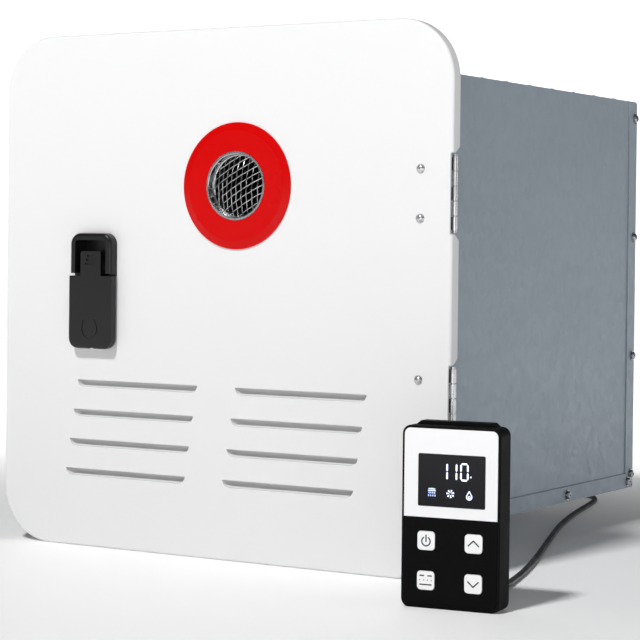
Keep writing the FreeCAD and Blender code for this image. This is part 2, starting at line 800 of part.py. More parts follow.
def exhaust_mesh():
    """Crossing wires pressed into a shallow dome, with a rim that seats in the collar."""
    radius = "outlet_bore - running"
    ball = "((outlet_bore * outlet_bore + mesh_rise * mesh_rise) / (2 * mesh_rise))"
    back = FACE + " - collar_proud + mesh_inset"
    centre = outlet_place(back + " - mesh_rise + " + ball)
    outer = doc.addObject("Part::Sphere", "mesh_outer")
    bind(outer, "Radius", ball)
    settle(outer, centre)
    inner = doc.addObject("Part::Sphere", "mesh_inner")
    bind(inner, "Radius", ball + " - mesh_wire")
    settle(inner, centre)
    dome = common(
        "mesh_dome",
        cut("mesh_shell", outer, [inner]),
        rod("mesh_room", outlet_place(back), radius, "mesh_rise + 2", FRONTAL),
    )
    bars = []
    for k in range(-5, 6):
        across = ("outlet_across + %d * mesh_pitch - mesh_wire / 2" % k,)
        across += (across[0] + " + mesh_wire",)
        up = ("outlet_rise + %d * mesh_pitch - mesh_wire / 2" % k,)
        up += (up[0] + " + mesh_wire",)
        along = (back + " - mesh_rise - 2", back + " + 1")
        bars.append(block("mesh_upright", across, along, ("outlet_rise - 30", "outlet_rise + 30")))
        bars.append(block("mesh_level", ("outlet_across - 30", "outlet_across + 30"), along, up))
    wires = common("mesh_wires", dome, fuse("mesh_bars", bars))
    rim_points = [(radius + " - 1.4", "0"), (radius, "0"), (radius, "1.2"), (radius + " - 1.4", "1.2")]
    rim = turned("mesh_rim", rim_points, outlet_place(back), OUTWARD)
    keep("exhaust_mesh", fuse("exhaust_mesh", [wires, rim]))


# ---------------------------------------------------------------- latch
def recess_span(extra):
    half = "(recess_width / 2 + %s)" % extra
    return ("latch_across - " + half, "latch_across + " + half)


def centred(centre, width):
    return ("%s - %s / 2" % (centre, width), "%s + %s / 2" % (centre, width))


def latch_bezel():
    """A base plate, a raised hood round the finger recess and a cup behind the door."""
    base = slab(
        "latch_base",
        centred("latch_across", "base_width"),
        ("-base_drop", "bezel_foot + 10"),
        FACE + " - base_plate",
        FACE,
        "4",
    )
    hood = slab(
        "latch_hood",
        centred("latch_across", "bezel_width"),
        ("bezel_foot - bezel_corner - 2", "latch_rise"),
        FACE + " - bezel_height",
        FACE,
        "bezel_corner",
        "2.2",
    )
    trim = block(
        "latch_hood_end",
        ("latch_across - 30", "latch_across + 30"),
        (FACE + " - 20", FACE + " - base_plate"),
        ("-60", "bezel_foot"),
    )
    skirt = block(
        "latch_hood_skirt",
        ("latch_across - 30", "latch_across + 30"),
        (FACE + " - base_plate - 1", FACE + " + 1"),
        ("-60", "bezel_foot - 2"),
    )
    cup = slab(
        "latch_cup",
        recess_span("1.5"),
        ("handle_top - 1.5", "recess_top + 1.5"),
        FACE + " - 1",
        FACE + " - bezel_height + recess_depth + 1.5",
        "3",
    )
    recess = slab(
        "latch_recess",
        recess_span("0"),
        ("handle_top", "recess_top"),
        FACE + " - bezel_height - 1",
        FACE + " - bezel_height + recess_depth",
        "2.5",
    )
    seat = rod(
        "latch_turret_seat",
        ("latch_across", FACE + " + 1", "-spindle_drop"),
        "spindle_radius + 2 + seat_gap",
        "4",
        FRONTAL,
    )
    raised = cut("latch_hood_raised", hood, [trim, skirt])
    keep("latch_bezel", cut("latch_bezel", fuse("latch_moulded", [base, raised, cup]), [recess, seat]))


HANDLE_BACK = FACE + " - handle_front + handle_thick"
PIVOT_BACK = FACE + " - handle_front + handle_thick / 2"
PIVOT_UP = "-handle_drop + handle_thick / 2"


def latch_handle():
    """A plate with a thin finger tab, hinged on a pin in its rounded lower end."""
    plate = slab(
        "handle_plate",
        centred("latch_across", "handle_width"),
        ("-handle_drop", "handle_top + handle_corner + 1"),
        FACE + " - handle_front",
        HANDLE_BACK,
        "handle_corner",
    )
    tab = slab(
        "handle_tab",
        centred("latch_across", "tab_width"),
        ("0", "tab_top"),
        FACE + " - handle_front",
        FACE + " - handle_front + tab_thick",
        "1.5",
    )
    top = block(
        "handle_top_cut",
        ("latch_across - 30", "latch_across + 30"),
        (FACE + " - 20", FACE),
        ("handle_top", "handle_top + 30"),
    )
    heel_low = block(
        "handle_heel_room",
        ("latch_across - 30", "latch_across + 30"),
        (FACE + " - 20", FACE),
        ("-60", PIVOT_UP),
    )
    heel = rod(
        "handle_heel",
        ("latch_across - 30", PIVOT_BACK, PIVOT_UP),
        "handle_thick / 2",
        "60",
        ACROSS,
    )
    upper = cut("handle_upper", cut("handle_trimmed", plate, [top]), [heel_low])
    lower = common("handle_lower", lower_plate(), heel)
    slot = block(
        "handle_slot",
        ("latch_across - 2.5", "latch_across + 2.5"),
        (PIVOT_BACK + " - 1.95", HANDLE_BACK + " + 1"),
        ("-handle_drop - 1", "-spindle_drop + spindle_radius + 2"),
    )
    bore = rod(
        "handle_pin_bore",
        ("latch_across - 9", PIVOT_BACK, PIVOT_UP),
        "latch_pin + running",
        "18",
        ACROSS,
    )
    grips = []
    for k in range(3):
        width = "%f * tab_width" % (0.34 + 0.10 * k)
        low = "tab_top - %f" % (4.2 + 2.9 * k)
        grips.append(
            block(
                "handle_grip_%d" % k,
                centred("latch_across", width),
                (FACE + " - handle_front - 1", FACE + " - handle_front + 0.9"),
                (low, low + " + 1.5"),
            )
        )
    handle = fuse("handle_moulded", [upper, lower, tab])
    keep("latch_handle", cut("latch_handle", handle, [slot, bore] + grips + engraved_arc()))


def engraved_arc():
    """A turning arrow with two heads, cut into the handle's face."""
    centre = ("latch_across", FACE + " - handle_front + arc_depth", "-arc_drop")
    ring = cut(
        "arc_ring",
        rod("arc_outside", centre, "arc_radius + arc_line / 2", "3", FRONTAL),
        [
            rod("arc_inside", centre, "arc_radius - arc_line / 2", "3", FRONTAL),
            block(
                "arc_gap",
                centred("latch_across", "1.3 * arc_radius"),
                (FACE + " - 20", FACE),
                ("-arc_drop", "-arc_drop + 2 * arc_radius"),
            ),
        ],
    )
    heads = []
    for side in (1, -1):
        tip = ("latch_across + %d * 0.72 * arc_radius" % side, "-arc_drop + 0.80 * arc_radius")
        points = [
            (tip[0] + " + %d * 0.24 * arc_radius" % -side, tip[1] + " + 0.26 * arc_radius"),
            (tip[0] + " + %d * 0.36 * arc_radius" % side, tip[1] + " + 0.12 * arc_radius"),
            (tip[0] + " + %d * 0.10 * arc_radius" % side, tip[1] + " - 0.34 * arc_radius"),
        ]
        heads.append(padded("arc_head", points, "3", ("0", centre[1], "0"), FRONTAL))
    return [ring] + heads


def lower_plate():
    return slab(
        "handle_plate_end",
        centred("latch_across", "handle_width"),
        ("-handle_drop", "0"),
        FACE + " - handle_front",
        HANDLE_BACK,
        "handle_corner",
    )


def latch_spindle():
    """The turret with the handle's lug and pin, and the stem through the door."""
    turret_front = FACE + " - handle_front + handle_thick + 0.2"
    turret = rod(
        "spindle_turret",
        ("latch_across", FACE, "-spindle_drop"),
        "spindle_radius + 2",
        "-(%s) + (%s)" % (turret_front, FACE),
        FRONTAL,
    )
    stem = rod(
        "spindle_stem",
        ("latch_across", "4", "-spindle_drop"),
        "spindle_radius",
        "4 - (%s) + 0.5" % FACE,
        FRONTAL,
    )
    lug = block(
        "spindle_lug",
        ("latch_across - 2.2", "latch_across + 2.2"),
        (PIVOT_BACK, turret_front + " + 0.5"),
        (PIVOT_UP, "-spindle_drop + spindle_radius - 1"),
    )
    eye = rod("spindle_eye", ("latch_across - 2.2", PIVOT_BACK, PIVOT_UP), "1.75", "4.4", ACROSS)
    pin = rod("spindle_pin", ("latch_across - 8.8", PIVOT_BACK, PIVOT_UP), "latch_pin", "17.6", ACROSS)
    keep("latch_spindle", fuse("latch_spindle", [turret, stem, lug, eye, pin]))


def latch_cam():
    """A flat arm on the stem behind the wall flange's plane, with its nut."""
    arm = block(
        "cam_arm",
        centred("latch_across", "cam_width"),
        ("1", "1 + cam_thick"),
        ("-spindle_drop - cam_length", "-spindle_drop"),
    )
    place = ("latch_across", "1 + cam_thick", "-spindle_drop")
    boss = rod("cam_boss", place, "cam_width / 2", "cam_thick", FRONTAL)
    nut = rod("cam_nut", ("latch_across", "4", "-spindle_drop"), "spindle_radius + 3", "4 - 1", FRONTAL)
    bore = rod(
        "cam_bore",
        ("latch_across", "6", "-spindle_drop"),
        "spindle_radius + running",
        "8",
        FRONTAL,
    )
    keep("latch_cam", cut("latch_cam", fuse("cam_and_nut", [arm, boss, nut]), [bore]))


# ---------------------------------------------------------------- hinges
def knuckle_span(centre, number):
    pitch = "(hinge_length / 5)"
    low = "%s - hinge_length / 2 + %d * %s + knuckle_gap / 2" % (centre, number, pitch)
    return low, low + " + %s - knuckle_gap" % pitch


def knuckles(name, centre, numbers):
    pieces = []
    for number in numbers:
        low, high = knuckle_span(centre, number)
        pieces.append(
            rod(
                "%s_%d" % (name, number),
                (PIN_ACROSS, PIN_BACK, low),
                "knuckle_radius",
                "(%s) - (%s)" % (high, low),
            )
        )
    return pieces


def hinge_leaf(name, centre, numbers, others, plate, web):
    """A leaf with its knuckles, cleared round the other leaf's knuckles and bored for the pin."""
    bore = rod(
        name + "_bore",
        (PIN_ACROSS, PIN_BACK, "%s - hinge_length" % centre),
        "hinge_pin + running",
        "2 * hinge_length",
    )
    rooms = []
    for number in others:
        low, high = knuckle_span(centre, number)
        rooms.append(
            rod(
                "%s_room_%d" % (name, number),
                (PIN_ACROSS, PIN_BACK, low + " - knuckle_gap"),
                "knuckle_radius + seat_gap",
                "(%s) - (%s) + 2 * knuckle_gap" % (high, low),
            )
        )
    body = fuse(name + "_rolled", knuckles(name, centre, numbers) + [plate] + web)
    return cut(name, body, [bore] + rooms)


def hinges():
    door_leaves = []
    frame_leaves = []
    pins = []
    for name, side in (("upper", 1), ("lower", -1)):
        centre = signed("hinge_centre", side)
        span = ("%s - hinge_length / 2" % centre, "%s + hinge_length / 2" % centre)
        bend = PIN_ACROSS + " - knuckle_radius"
        plate = block(
            name + "_door_plate",
            (PIN_ACROSS + " - door_leaf", bend + " + leaf_sheet"),
            (INSIDE, INSIDE + " + leaf_sheet"),
            span,
        )
        webs = [
            block(
                "%s_door_web_%d" % (name, number),
                (bend, bend + " + leaf_sheet"),
                (INSIDE, PIN_BACK),
                knuckle_span(centre, number),
            )
            for number in (1, 3)
        ]
        leaf = hinge_leaf(name + "_door_leaf", centre, (1, 3), (0, 2, 4), plate, webs)
        screw_holes = [
            rod(name + "_leaf_hole", (across, INSIDE + " + 3", up), "hinge_screw + running", "5", FRONTAL)
            for across, up in hinge_screw_places()
        ]
        door_leaves.append(cut(name + "_door_leaf_bored", leaf, screw_holes))
        seat = FLANGE + " - leaf_sheet"
        plate = block(
            name + "_frame_plate",
            (PIN_ACROSS + " - frame_leaf", PIN_ACROSS + " - frame_web + leaf_sheet"),
            (seat, FLANGE),
            span,
        )
        webs = []
        lip = PIN_BACK + " + knuckle_radius - leaf_sheet"
        for number in (0, 2, 4):
            webs.append(
                block(
                    "%s_frame_web_%d" % (name, number),
                    (PIN_ACROSS + " - frame_web", PIN_ACROSS + " - frame_web + leaf_sheet"),
                    (lip, FLANGE),
                    knuckle_span(centre, number),
                )
            )
            webs.append(
                block(
                    "%s_frame_lip_%d" % (name, number),
                    (PIN_ACROSS + " - frame_web", PIN_ACROSS),
                    (lip, lip + " + leaf_sheet"),
                    knuckle_span(centre, number),
                )
            )
        frame_leaves.append(hinge_leaf(name + "_frame_leaf", centre, (0, 2, 4), (1, 3), plate, webs))
        pin_points = [
            ("0", "0"),
            ("hinge_pin + 0.7", "0"),
            ("hinge_pin + 0.7", "0.8"),
            ("hinge_pin", "0.8"),
            ("hinge_pin", "hinge_length + 1.2"),
            ("hinge_pin + 0.7", "hinge_length + 1.2"),
            ("hinge_pin + 0.7", "hinge_length + 2"),
            ("0", "hinge_length + 2"),
        ]
        foot = "%s - hinge_length / 2 - 1" % centre
        pins.append(turned(name + "_pin", pin_points, (PIN_ACROSS, PIN_BACK, foot), UPRIGHT))
    keep("hinge_door_leaves", group("hinge_door_leaves", door_leaves))
    keep("hinge_frame_leaves", group("hinge_frame_leaves", frame_leaves))
    keep("hinge_pins", group("hinge_pins", pins))


def hinge_screws():
    pieces = []
    for across, up in hinge_screw_places():
        head = cap("hinge_screw_head", "hinge_screw_head", "25", (across, FACE + " + 1.53", up), FRONTAL)
        place = (across, INSIDE + " + leaf_sheet", up)
        shank = rod("hinge_screw_shank", place, "hinge_screw", "leaf_sheet + door_skin + 0.1", FRONTAL)
        seat = block(
            "hinge_screw_seat",
            (across + " - 5", across + " + 5"),
            (FACE, FACE + " + 5"),
            (up + " - 5", up + " + 5"),
        )
        pieces.append(fuse("hinge_screw", [cut("hinge_screw_dome", head, [seat]), shank]))
    keep("hinge_screws", group("hinge_screws", pieces))


# ---------------------------------------------------------------- burner and heat exchanger
CHAMBER = ("-chamber_width / 2", "chamber_width / 2")
CHAMBER_BACK = "chamber_front + chamber_depth"


def open_box(name, low, high, floor):
    """Four sheet walls, with a floor of the same sheet where the piece has one."""
    outside = block(name + "_outside", CHAMBER, ("chamber_front", CHAMBER_BACK), (low, high))
    inside = block(
        name + "_inside",
        ("-chamber_width / 2 + chamber_sheet", "chamber_width / 2 - chamber_sheet"),
        ("chamber_front + chamber_sheet", CHAMBER_BACK + " - chamber_sheet"),
        (low + (" + chamber_sheet" if floor else " - 1"), high + " + 1"),
    )
    return cut(name + "_walls", outside, [inside])


def burner_box():
    walls = open_box("burner_box", "-burner_low", "-burner_high", True)
    holes = [
        block(
            "burner_air_slot_%d" % k,
            ("%d * burner_pitch + 9" % k, "%d * burner_pitch + 13" % k),
            ("chamber_front + 15", CHAMBER_BACK + " - 15"),
            ("-burner_low - 1", "-burner_low + 3"),
        )
        for k in range(-4, 3)
    ]
    for k in range(-3, 4):
        place = ("%d * burner_pitch" % k, "chamber_front + 5", "-burner_low + 20")
        holes.append(rod("nozzle_hole_%d" % k, place, "4", "8", FRONTAL))
    for across in ELECTRODES:
        place = (across, "chamber_front + 5", ELECTRODE_UP)
        holes.append(rod("electrode_hole", place, "4 + running", "8", FRONTAL))
    keep("burner_box", cut("burner_box", walls, holes))


ELECTRODES = ("-11", "11", "33")
ELECTRODE_UP = "-burner_high - 12"


def burner_bars():
    bars = []
    for k in range(-3, 4):
        bar = block(
            "burner_bar_solid_%d" % k,
            centred("%d * burner_pitch" % k, "burner_width"),
            ("chamber_front + 10", CHAMBER_BACK + " - 6"),
            ("-burner_low + chamber_sheet", "-burner_low + chamber_sheet + burner_height"),
        )
        slots = [
            block(
                "burner_flame_slot_%d" % n,
                centred("%d * burner_pitch" % k, "burner_width * 0.6"),
                ("chamber_front + 16 + %d * 12" % n, "chamber_front + 22 + %d * 12" % n),
                ("-burner_low + burner_height - 8", "-burner_low + burner_height + 4"),
            )
            for n in range(12)
        ]
        mouth = rod(
            "burner_mouth",
            ("%d * burner_pitch" % k, "chamber_front + 30", "-burner_low + 20"),
            "5",
            "30",
            FRONTAL,
        )
        bars.append(cut("burner_bar_%d" % k, bar, slots + [mouth]))
    keep("burner_bars", group("burner_bars", bars))


def gas_manifold():
    up = "-burner_low + 20"
    rail = block(
        "manifold_rail",
        ("-3.6 * burner_pitch", "3.6 * burner_pitch"),
        ("chamber_front - 20", "chamber_front - 8"),
        (up + " - 7", up + " + 7"),
    )
    pieces = [rail]
    for k in range(-3, 4):
        place = ("%d * burner_pitch" % k, "chamber_front + 5", up)
        pieces.append(rod("nozzle_%d" % k, place, "3", "14", FRONTAL))
    for k in (-1, 1):
        pieces.append(
            block(
                "manifold_leg",
                centred("%d * 3.5 * burner_pitch" % k, "4"),
                ("chamber_front - 10", "chamber_front"),
                (up + " - 7", up + " + 7"),
            )
        )
    pieces.append(
        rod(
            "manifold_stub",
            ("3.6 * burner_pitch - 2", "chamber_front - 14", up),
            "6",
            "valve_across - 24 - 3.6 * burner_pitch + 2",
            ACROSS,
        )
    )
    bore = rod(
        "manifold_bore",
        ("-3.4 * burner_pitch", "chamber_front - 14", up),
        "4",
        "valve_across - 24 + 3.4 * burner_pitch + 1",
        ACROSS,
    )
    keep("gas_manifold", cut("gas_manifold", fuse("manifold_cast", pieces), [bore]))


def gas_valve():
    """The valve block on its foot, with two solenoids on top."""
    block_low = "-gas_drop - 22"
    body = block(
        "valve_block",
        ("valve_across - 24", "valve_across + 24"),
        ("chamber_front - 30", "chamber_front + 30"),
        (block_low, "-gas_drop + 22"),
    )
    foot = block(
        "valve_foot",
        ("valve_across - 18", "valve_across + 18"),
        ("chamber_front - 20", "chamber_front + 20"),
        (FLOOR + " + panel_sheet", block_low),
    )
    coils = [
        rod("valve_coil", ("valve_across", "chamber_front + %d" % along, "-gas_drop + 22"), "11", "26")
        for along in (-14, 14)
    ]
    keep("gas_valve", fuse("gas_valve", [body, foot] + coils))


def gas_line():
    start = "chamber_front + 30"
    end = REAR + " - panel_sheet - 12"
    place = ("valve_across", end, "-gas_drop")
    tube = rod("gas_tube", place, "gas_pipe_radius", end + " - (%s)" % start, FRONTAL)
    bore = rod("gas_tube_bore", ("valve_across", REAR, "-gas_drop"), "gas_pipe_radius - 1", REAR, FRONTAL)
    keep("gas_pipe", cut("gas_pipe", tube, [bore]))
    fitting("gas_inlet_fitting", "valve_across", "-gas_drop", "gas_thread", "gas_pipe_radius - 1")


def fitting(label, across, up, thread, bore):
    """A male fitting held by its inner flange, with a plain shank through the rear panel."""
    points = [
        (bore, "0"),
        (thread + " + 1.5", "0"),
        (thread + " + 3", "1.5"),
        (thread + " + 3", "12"),
        (thread + " + fitting_shank", "12"),
        (thread + " + fitting_shank", "13 + panel_sheet"),
        (thread, "13 + panel_sheet"),
        (thread, "12 + panel_sheet + fitting_reach - 1"),
        (thread + " - 1", "12 + panel_sheet + fitting_reach"),
        (bore, "12 + panel_sheet + fitting_reach"),
    ]
    keep(label, turned(label, points, (across, REAR + " - panel_sheet - 12", up)))


def heat_exchanger():
    walls = open_box("exchanger", "-burner_high", "exchanger_high", False)
    tubes = []
    for k in range(5):
        place = ("-chamber_width", tube_along(k), "0")
        tubes.append(
            rod("exchanger_hole_%d" % k, place, "tube_radius + running", "2 * chamber_width", ACROSS)
        )
    keep("heat_exchanger_shell", cut("heat_exchanger_shell", walls, tubes))
    fin = block(
        "fin_blank",
        ("-fin_sheet / 2", "fin_sheet / 2"),
        ("chamber_front + chamber_sheet", CHAMBER_BACK + " - chamber_sheet"),
        ("-burner_high + 5", "exchanger_high - 5"),
    )
    holes = [
        rod("fin_hole_%d" % k, ("-5", tube_along(k), "0"), "tube_radius + running", "10", ACROSS)
        for k in range(5)
    ]
    fin = cut("fin_pierced", fin, holes)
    doc.recompute()
    pitch = amount_of("fin_pitch")
    count = int(amount_of("(chamber_width / 2 - chamber_sheet - fin_sheet) / fin_pitch"))
    fins = [fin.Shape.translated(Vector(k * pitch, 0, 0)) for k in range(-count, count + 1)]
    keep("heat_exchanger_fins", shaped("heat_exchanger_fins", Part.makeCompound(fins)))
    serpentine()


def tube_along(number):
    return "chamber_front + chamber_depth / 2 + %d * tube_pitch" % (number - 2)


def serpentine():
    """One tube through the fins, five passes joined by return bends outside the shell."""
    half = amount_of("tube_pitch / 2")
    reach = amount_of("chamber_width / 2 + 12")
    lead = amount_of("chamber_width / 2 + 2")
    rows = [amount_of(tube_along(k)) for k in range(5)]
    edges = []
    side = -1
    start = Vector(-lead, rows[0], 0)
    for k, along in enumerate(rows):
        side = -side
        end = Vector(side * (lead if k == 4 else reach), along, 0)
        edges.append(Part.makeLine(start, end))
        if k < 4:
            start = Vector(side * reach, rows[k + 1], 0)
            crown = Vector(side * (reach + half), (along + rows[k + 1]) / 2, 0)
            edges.append(Part.Arc(end, crown, start).toShape())
    wire = Part.Wire(edges)
    outside = pipe_along(wire, amount_of("tube_radius"))
    inside = pipe_along(wire, amount_of("tube_radius - tube_wall"))
    keep("heat_exchanger_tubes", shaped("heat_exchanger_tubes", outside.cut(inside)))


def water_pipes():
    bend = 18.0
    sensor_end = REAR + " - panel_sheet - 12 - 30"
    lead = "chamber_width / 2 + 2"
    inlet = [
        ("inlet_across", sensor_end, "-inlet_drop"),
        ("inlet_across", "chamber_front + chamber_depth + 48", "-inlet_drop"),
        ("-(%s) - 25" % lead, "chamber_front + chamber_depth + 25", "-60"),
        ("-(%s) - 25" % lead, tube_along(0), "-60"),
        ("-(%s) - 25" % lead, tube_along(0), "0"),
        ("-(%s)" % lead, tube_along(0), "0"),
    ]
    keep("inlet_pipe", bent_tube("inlet_pipe", inlet, bend))
    outlet = [
        (lead, tube_along(4), "0"),
        (lead + " + 27", tube_along(4), "0"),
        (lead + " + 27", "chamber_front + chamber_depth + 50", "-10"),
        ("outlet_pipe_across", "chamber_front + chamber_depth + 72", "-outlet_pipe_drop"),
        ("outlet_pipe_across", REAR + " - panel_sheet - 12", "-outlet_pipe_drop"),
    ]
    keep("outlet_pipe", bent_tube("outlet_pipe", outlet, bend))
    bore = "tube_radius - tube_wall"
    fitting("water_inlet_fitting", "inlet_across", "-inlet_drop", "water_thread", bore)
    fitting("water_outlet_fitting", "outlet_pipe_across", "-outlet_pipe_drop", "water_thread", bore)
    points = [
        ("tube_radius - tube_wall", "0"),
        ("tube_radius + 3", "0"),
        ("tube_radius + 6", "4"),
        ("tube_radius + 6", "26"),
        ("tube_radius + 3", "30"),
        ("tube_radius - tube_wall", "30"),
    ]
    sensor = turned("flow_sensor_body", points, ("inlet_across", sensor_end, "-inlet_drop"))
    cap_box = block(
        "flow_sensor_cap",
        ("inlet_across - 8", "inlet_across + 8"),
        (sensor_end + " + 6", sensor_end + " + 24"),
        ("-inlet_drop + tube_radius + 3", "-inlet_drop + tube_radius + 14"),
    )
    keep("flow_sensor", fuse("flow_sensor", [sensor, cap_box]))


def ignition_electrodes():
    pieces = []
    for across in ELECTRODES:
        points = [
            ("0", "0"),
            ("1", "0"),
            ("1", "20"),
            ("4", "20"),
            ("4", "44"),
            ("2.5", "44"),
            ("2.5", "52"),
            ("0", "52"),
        ]
        pieces.append(turned("electrode", points, (across, "chamber_front + 36", ELECTRODE_UP), OUTWARD))
    keep("ignition_electrodes", group("ignition_electrodes", pieces))


def support_brackets():
    pieces = []
    for side in (1, -1):
        span = ("chamber_width / 2 - 16", "chamber_width / 2 - 2")
        solid = block(
            "bracket_solid",
            mirrored(span, side),
            ("chamber_front + 10", CHAMBER_BACK + " - 10"),
            (FLOOR + " + panel_sheet", "-burner_low"),
        )
        hollow = block(
            "bracket_hollow",
            mirrored((span[0] + " + 1.5", span[1] + " + 3"), side),
            ("chamber_front", CHAMBER_BACK),
            (FLOOR + " + panel_sheet + 1.5", "-burner_low - 1.5"),
        )
        pieces.append(cut("bracket", solid, [hollow]))
    keep("support_brackets", group("support_brackets", pieces))


# ---------------------------------------------------------------- flue and fan
def flue_hood():
    outside = block("hood_outside", CHAMBER, ("chamber_front", CHAMBER_BACK), ("exchanger_high", "hood_high"))
    inside = block(
        "hood_inside",
        ("-chamber_width / 2 + chamber_sheet", "chamber_width / 2 - chamber_sheet"),
        ("chamber_front + chamber_sheet", CHAMBER_BACK + " - chamber_sheet"),
        ("exchanger_high - 1", "hood_high - chamber_sheet"),
    )
    mouth = rod("hood_mouth", ("fan_across", "fan_back", "0"), "fan_radius - 16", "hood_high + 5")
    keep("flue_hood", cut("flue_hood", outside, [inside, mouth]))


def fan_housing():
    top = "hood_high + housing_height"
    sheet = "housing_sheet"
    channel = "26"
    scroll = rod("scroll_outside", ("fan_across", "fan_back", "hood_high"), "scroll_radius", "housing_height")
    outlet = block(
        "outlet_outside",
        ("outlet_across - %s" % channel, "outlet_across + %s" % channel),
        ("housing_front", "fan_back"),
        ("hood_high", top),
    )
    scroll_room = rod(
        "scroll_inside",
        ("fan_across", "fan_back", "hood_high + " + sheet),
        "scroll_radius - " + sheet,
        "housing_height - 2 * " + sheet,
    )
    outlet_room = block(
        "outlet_inside",
        ("outlet_across - %s + %s" % (channel, sheet), "outlet_across + %s - %s" % (channel, sheet)),
        ("housing_front + " + sheet, "fan_back"),
        ("hood_high + " + sheet, top + " - " + sheet),
    )
    bore = rod("outlet_bore", outlet_place("housing_front + 5"), "outlet_bore", "10", FRONTAL)
    inlet = rod("scroll_inlet", ("fan_across", "fan_back", "hood_high - 5"), "fan_radius - 16", "10")
    shaft = rod("scroll_shaft_hole", ("fan_across", "fan_back", top + " - 5"), "shaft_radius + 3", "10")
    body = fuse("housing_outside", [scroll, outlet])
    keep("fan_housing", cut("fan_housing", body, [scroll_room, outlet_room, bore, inlet, shaft]))


def fan_motor():
    points = [
        ("shaft_radius + running", "0"),
        ("motor_radius", "0"),
        ("motor_radius", "motor_height - 6"),
        ("motor_radius - 6", "motor_height"),
        ("0", "motor_height"),
        ("0", "16"),
        ("shaft_radius + running", "16"),
    ]
    place = ("fan_across", "fan_back", "hood_high + housing_height")
    keep("fan_motor", turned("fan_motor", points, place, UPRIGHT))


def fan_wheel():
    """A hub disc, a ring and blades between them, on the motor's shaft."""
    low = "hood_high + housing_sheet + 4"
    high = "hood_high + housing_height - housing_sheet - 6"
    disc = rod("wheel_disc", ("fan_across", "fan_back", high + " - 2"), "fan_radius", "2")
    ring = cut(
        "wheel_ring",
        rod("wheel_ring_outside", ("fan_across", "fan_back", low), "fan_radius", "2"),
        [rod("wheel_ring_inside", ("fan_across", "fan_back", low + " - 1"), "fan_radius - 12", "4")],
    )
    hub = rod("wheel_hub", ("fan_across", "fan_back", high + " - 12"), "9", "12")
    shaft = rod("wheel_shaft", ("fan_across", "fan_back", high + " - 14"), "shaft_radius", "14 + 7.5 + 14")
    blades = []
    count = 20
    for k in range(count):
        blade = doc.addObject("Part::Box", "wheel_blade_%d" % k)
        bind(blade, "Length", "11")
        bind(blade, "Width", "1.2")
        bind(blade, "Height", "(%s) - (%s) - 1" % (high, low))
        angle = 360.0 * k / count
        settle(
            blade,
            (
                "fan_across + (fan_radius - 12) * cos(%f)" % angle,
                "fan_back + (fan_radius - 12) * sin(%f)" % angle,
                low + " + 0.5",
            ),
            Rotation(Vector(0, 0, 1), angle + 18),
        )
        blades.append(blade)
    keep("fan_wheel", fuse("fan_wheel", [disc, ring, hub, shaft] + blades))


def flue_duct():
    wall = "outlet_bore + outlet_wall"
    points = [("outlet_bore", "0"), (wall, "0"), (wall, "housing_front"), ("outlet_bore", "housing_front")]
    keep("flue_duct", turned("flue_duct", points, outlet_place("0")))
    outer = wall + " + 3.2"
    sleeve = wall + " + running"
    seal = [
        ("outlet_bore", "0"),
        (outer, "0"),
        (outer, "8"),
        (sleeve, "8"),
        (sleeve, SEAL_FACE),
        ("outlet_bore", SEAL_FACE),
    ]
    keep("duct_seal", turned("duct_seal", seal, outlet_place("-(%s)" % SEAL_FACE)))


SEAL_FACE = "(rim_gap + door_depth + collar_proud - collar_length - seat_gap)"


def overheat_cutout():
    points = [("0", "0"), ("9", "0"), ("9", "3"), ("6", "3"), ("6", "7"), ("0", "7")]
    place = ("chamber_width / 4", CHAMBER_BACK, "exchanger_high - 14")
    keep("overheat_cutout", turned("overheat_cutout", points, place))


# ---------------------------------------------------------------- electronics
BOX_LEFT = "-(%s) + panel_sheet" % HALF


def control_box():
    outside = block(
        "control_box_outside",
        (BOX_LEFT, BOX_LEFT + " + 30"),
        ("60", "205"),
        ("-60", "85"),
    )
    inside = block(
        "control_box_inside",
        (BOX_LEFT + " + 2", BOX_LEFT + " + 40"),
        ("62", "203"),
        ("-58", "83"),
    )
    posts = [
        rod("control_box_post", (BOX_LEFT + " + 1", along, up), "3", "6", ACROSS)
        for along in ("72", "193")
        for up in ("-48", "73")
    ]
    keep("control_box", fuse("control_box", [cut("control_box_tray", outside, [inside])] + posts))
    board = block("board_sheet", (BOX_LEFT + " + 7", BOX_LEFT + " + 8.6"), ("64", "201"), ("-56", "81"))
    parts = [
        block("board_transformer", (BOX_LEFT + " + 8", BOX_LEFT + " + 26"), ("75", "105"), ("30", "64")),
        block("board_relay", (BOX_LEFT + " + 8", BOX_LEFT + " + 22"), ("120", "138"), ("40", "62")),
        block("board_igniter", (BOX_LEFT + " + 8", BOX_LEFT + " + 27"), ("150", "190"), ("-46", "-12")),
        block("board_plugs", (BOX_LEFT + " + 8", BOX_LEFT + " + 18"), ("80", "130"), ("-50", "-40")),
        rod("board_capacitor", (BOX_LEFT + " + 8", "160", "50"), "7", "18", ACROSS),
        rod("board_capacitor_small", (BOX_LEFT + " + 8", "182", "50"), "5", "14", ACROSS),
    ]
    keep("control_board", fuse("control_board", [board] + parts))


# ---------------------------------------------------------------- remote control
CONTROL_BACK = "control_thick"


def control_placement():
    place = Vector(amount_of("control_left"), amount_of("control_front"), amount_of(GROUND))
    return FreeCAD.Placement(place, Rotation(Vector(0, 0, 1), amount_of("control_yaw")))


def key_places():
    return (
        ("key_power", "key_left", "key_upper"),
        ("key_up", "key_right", "key_upper"),
        ("key_mode", "key_left", "key_lower"),
        ("key_down", "key_right", "key_lower"),
    )


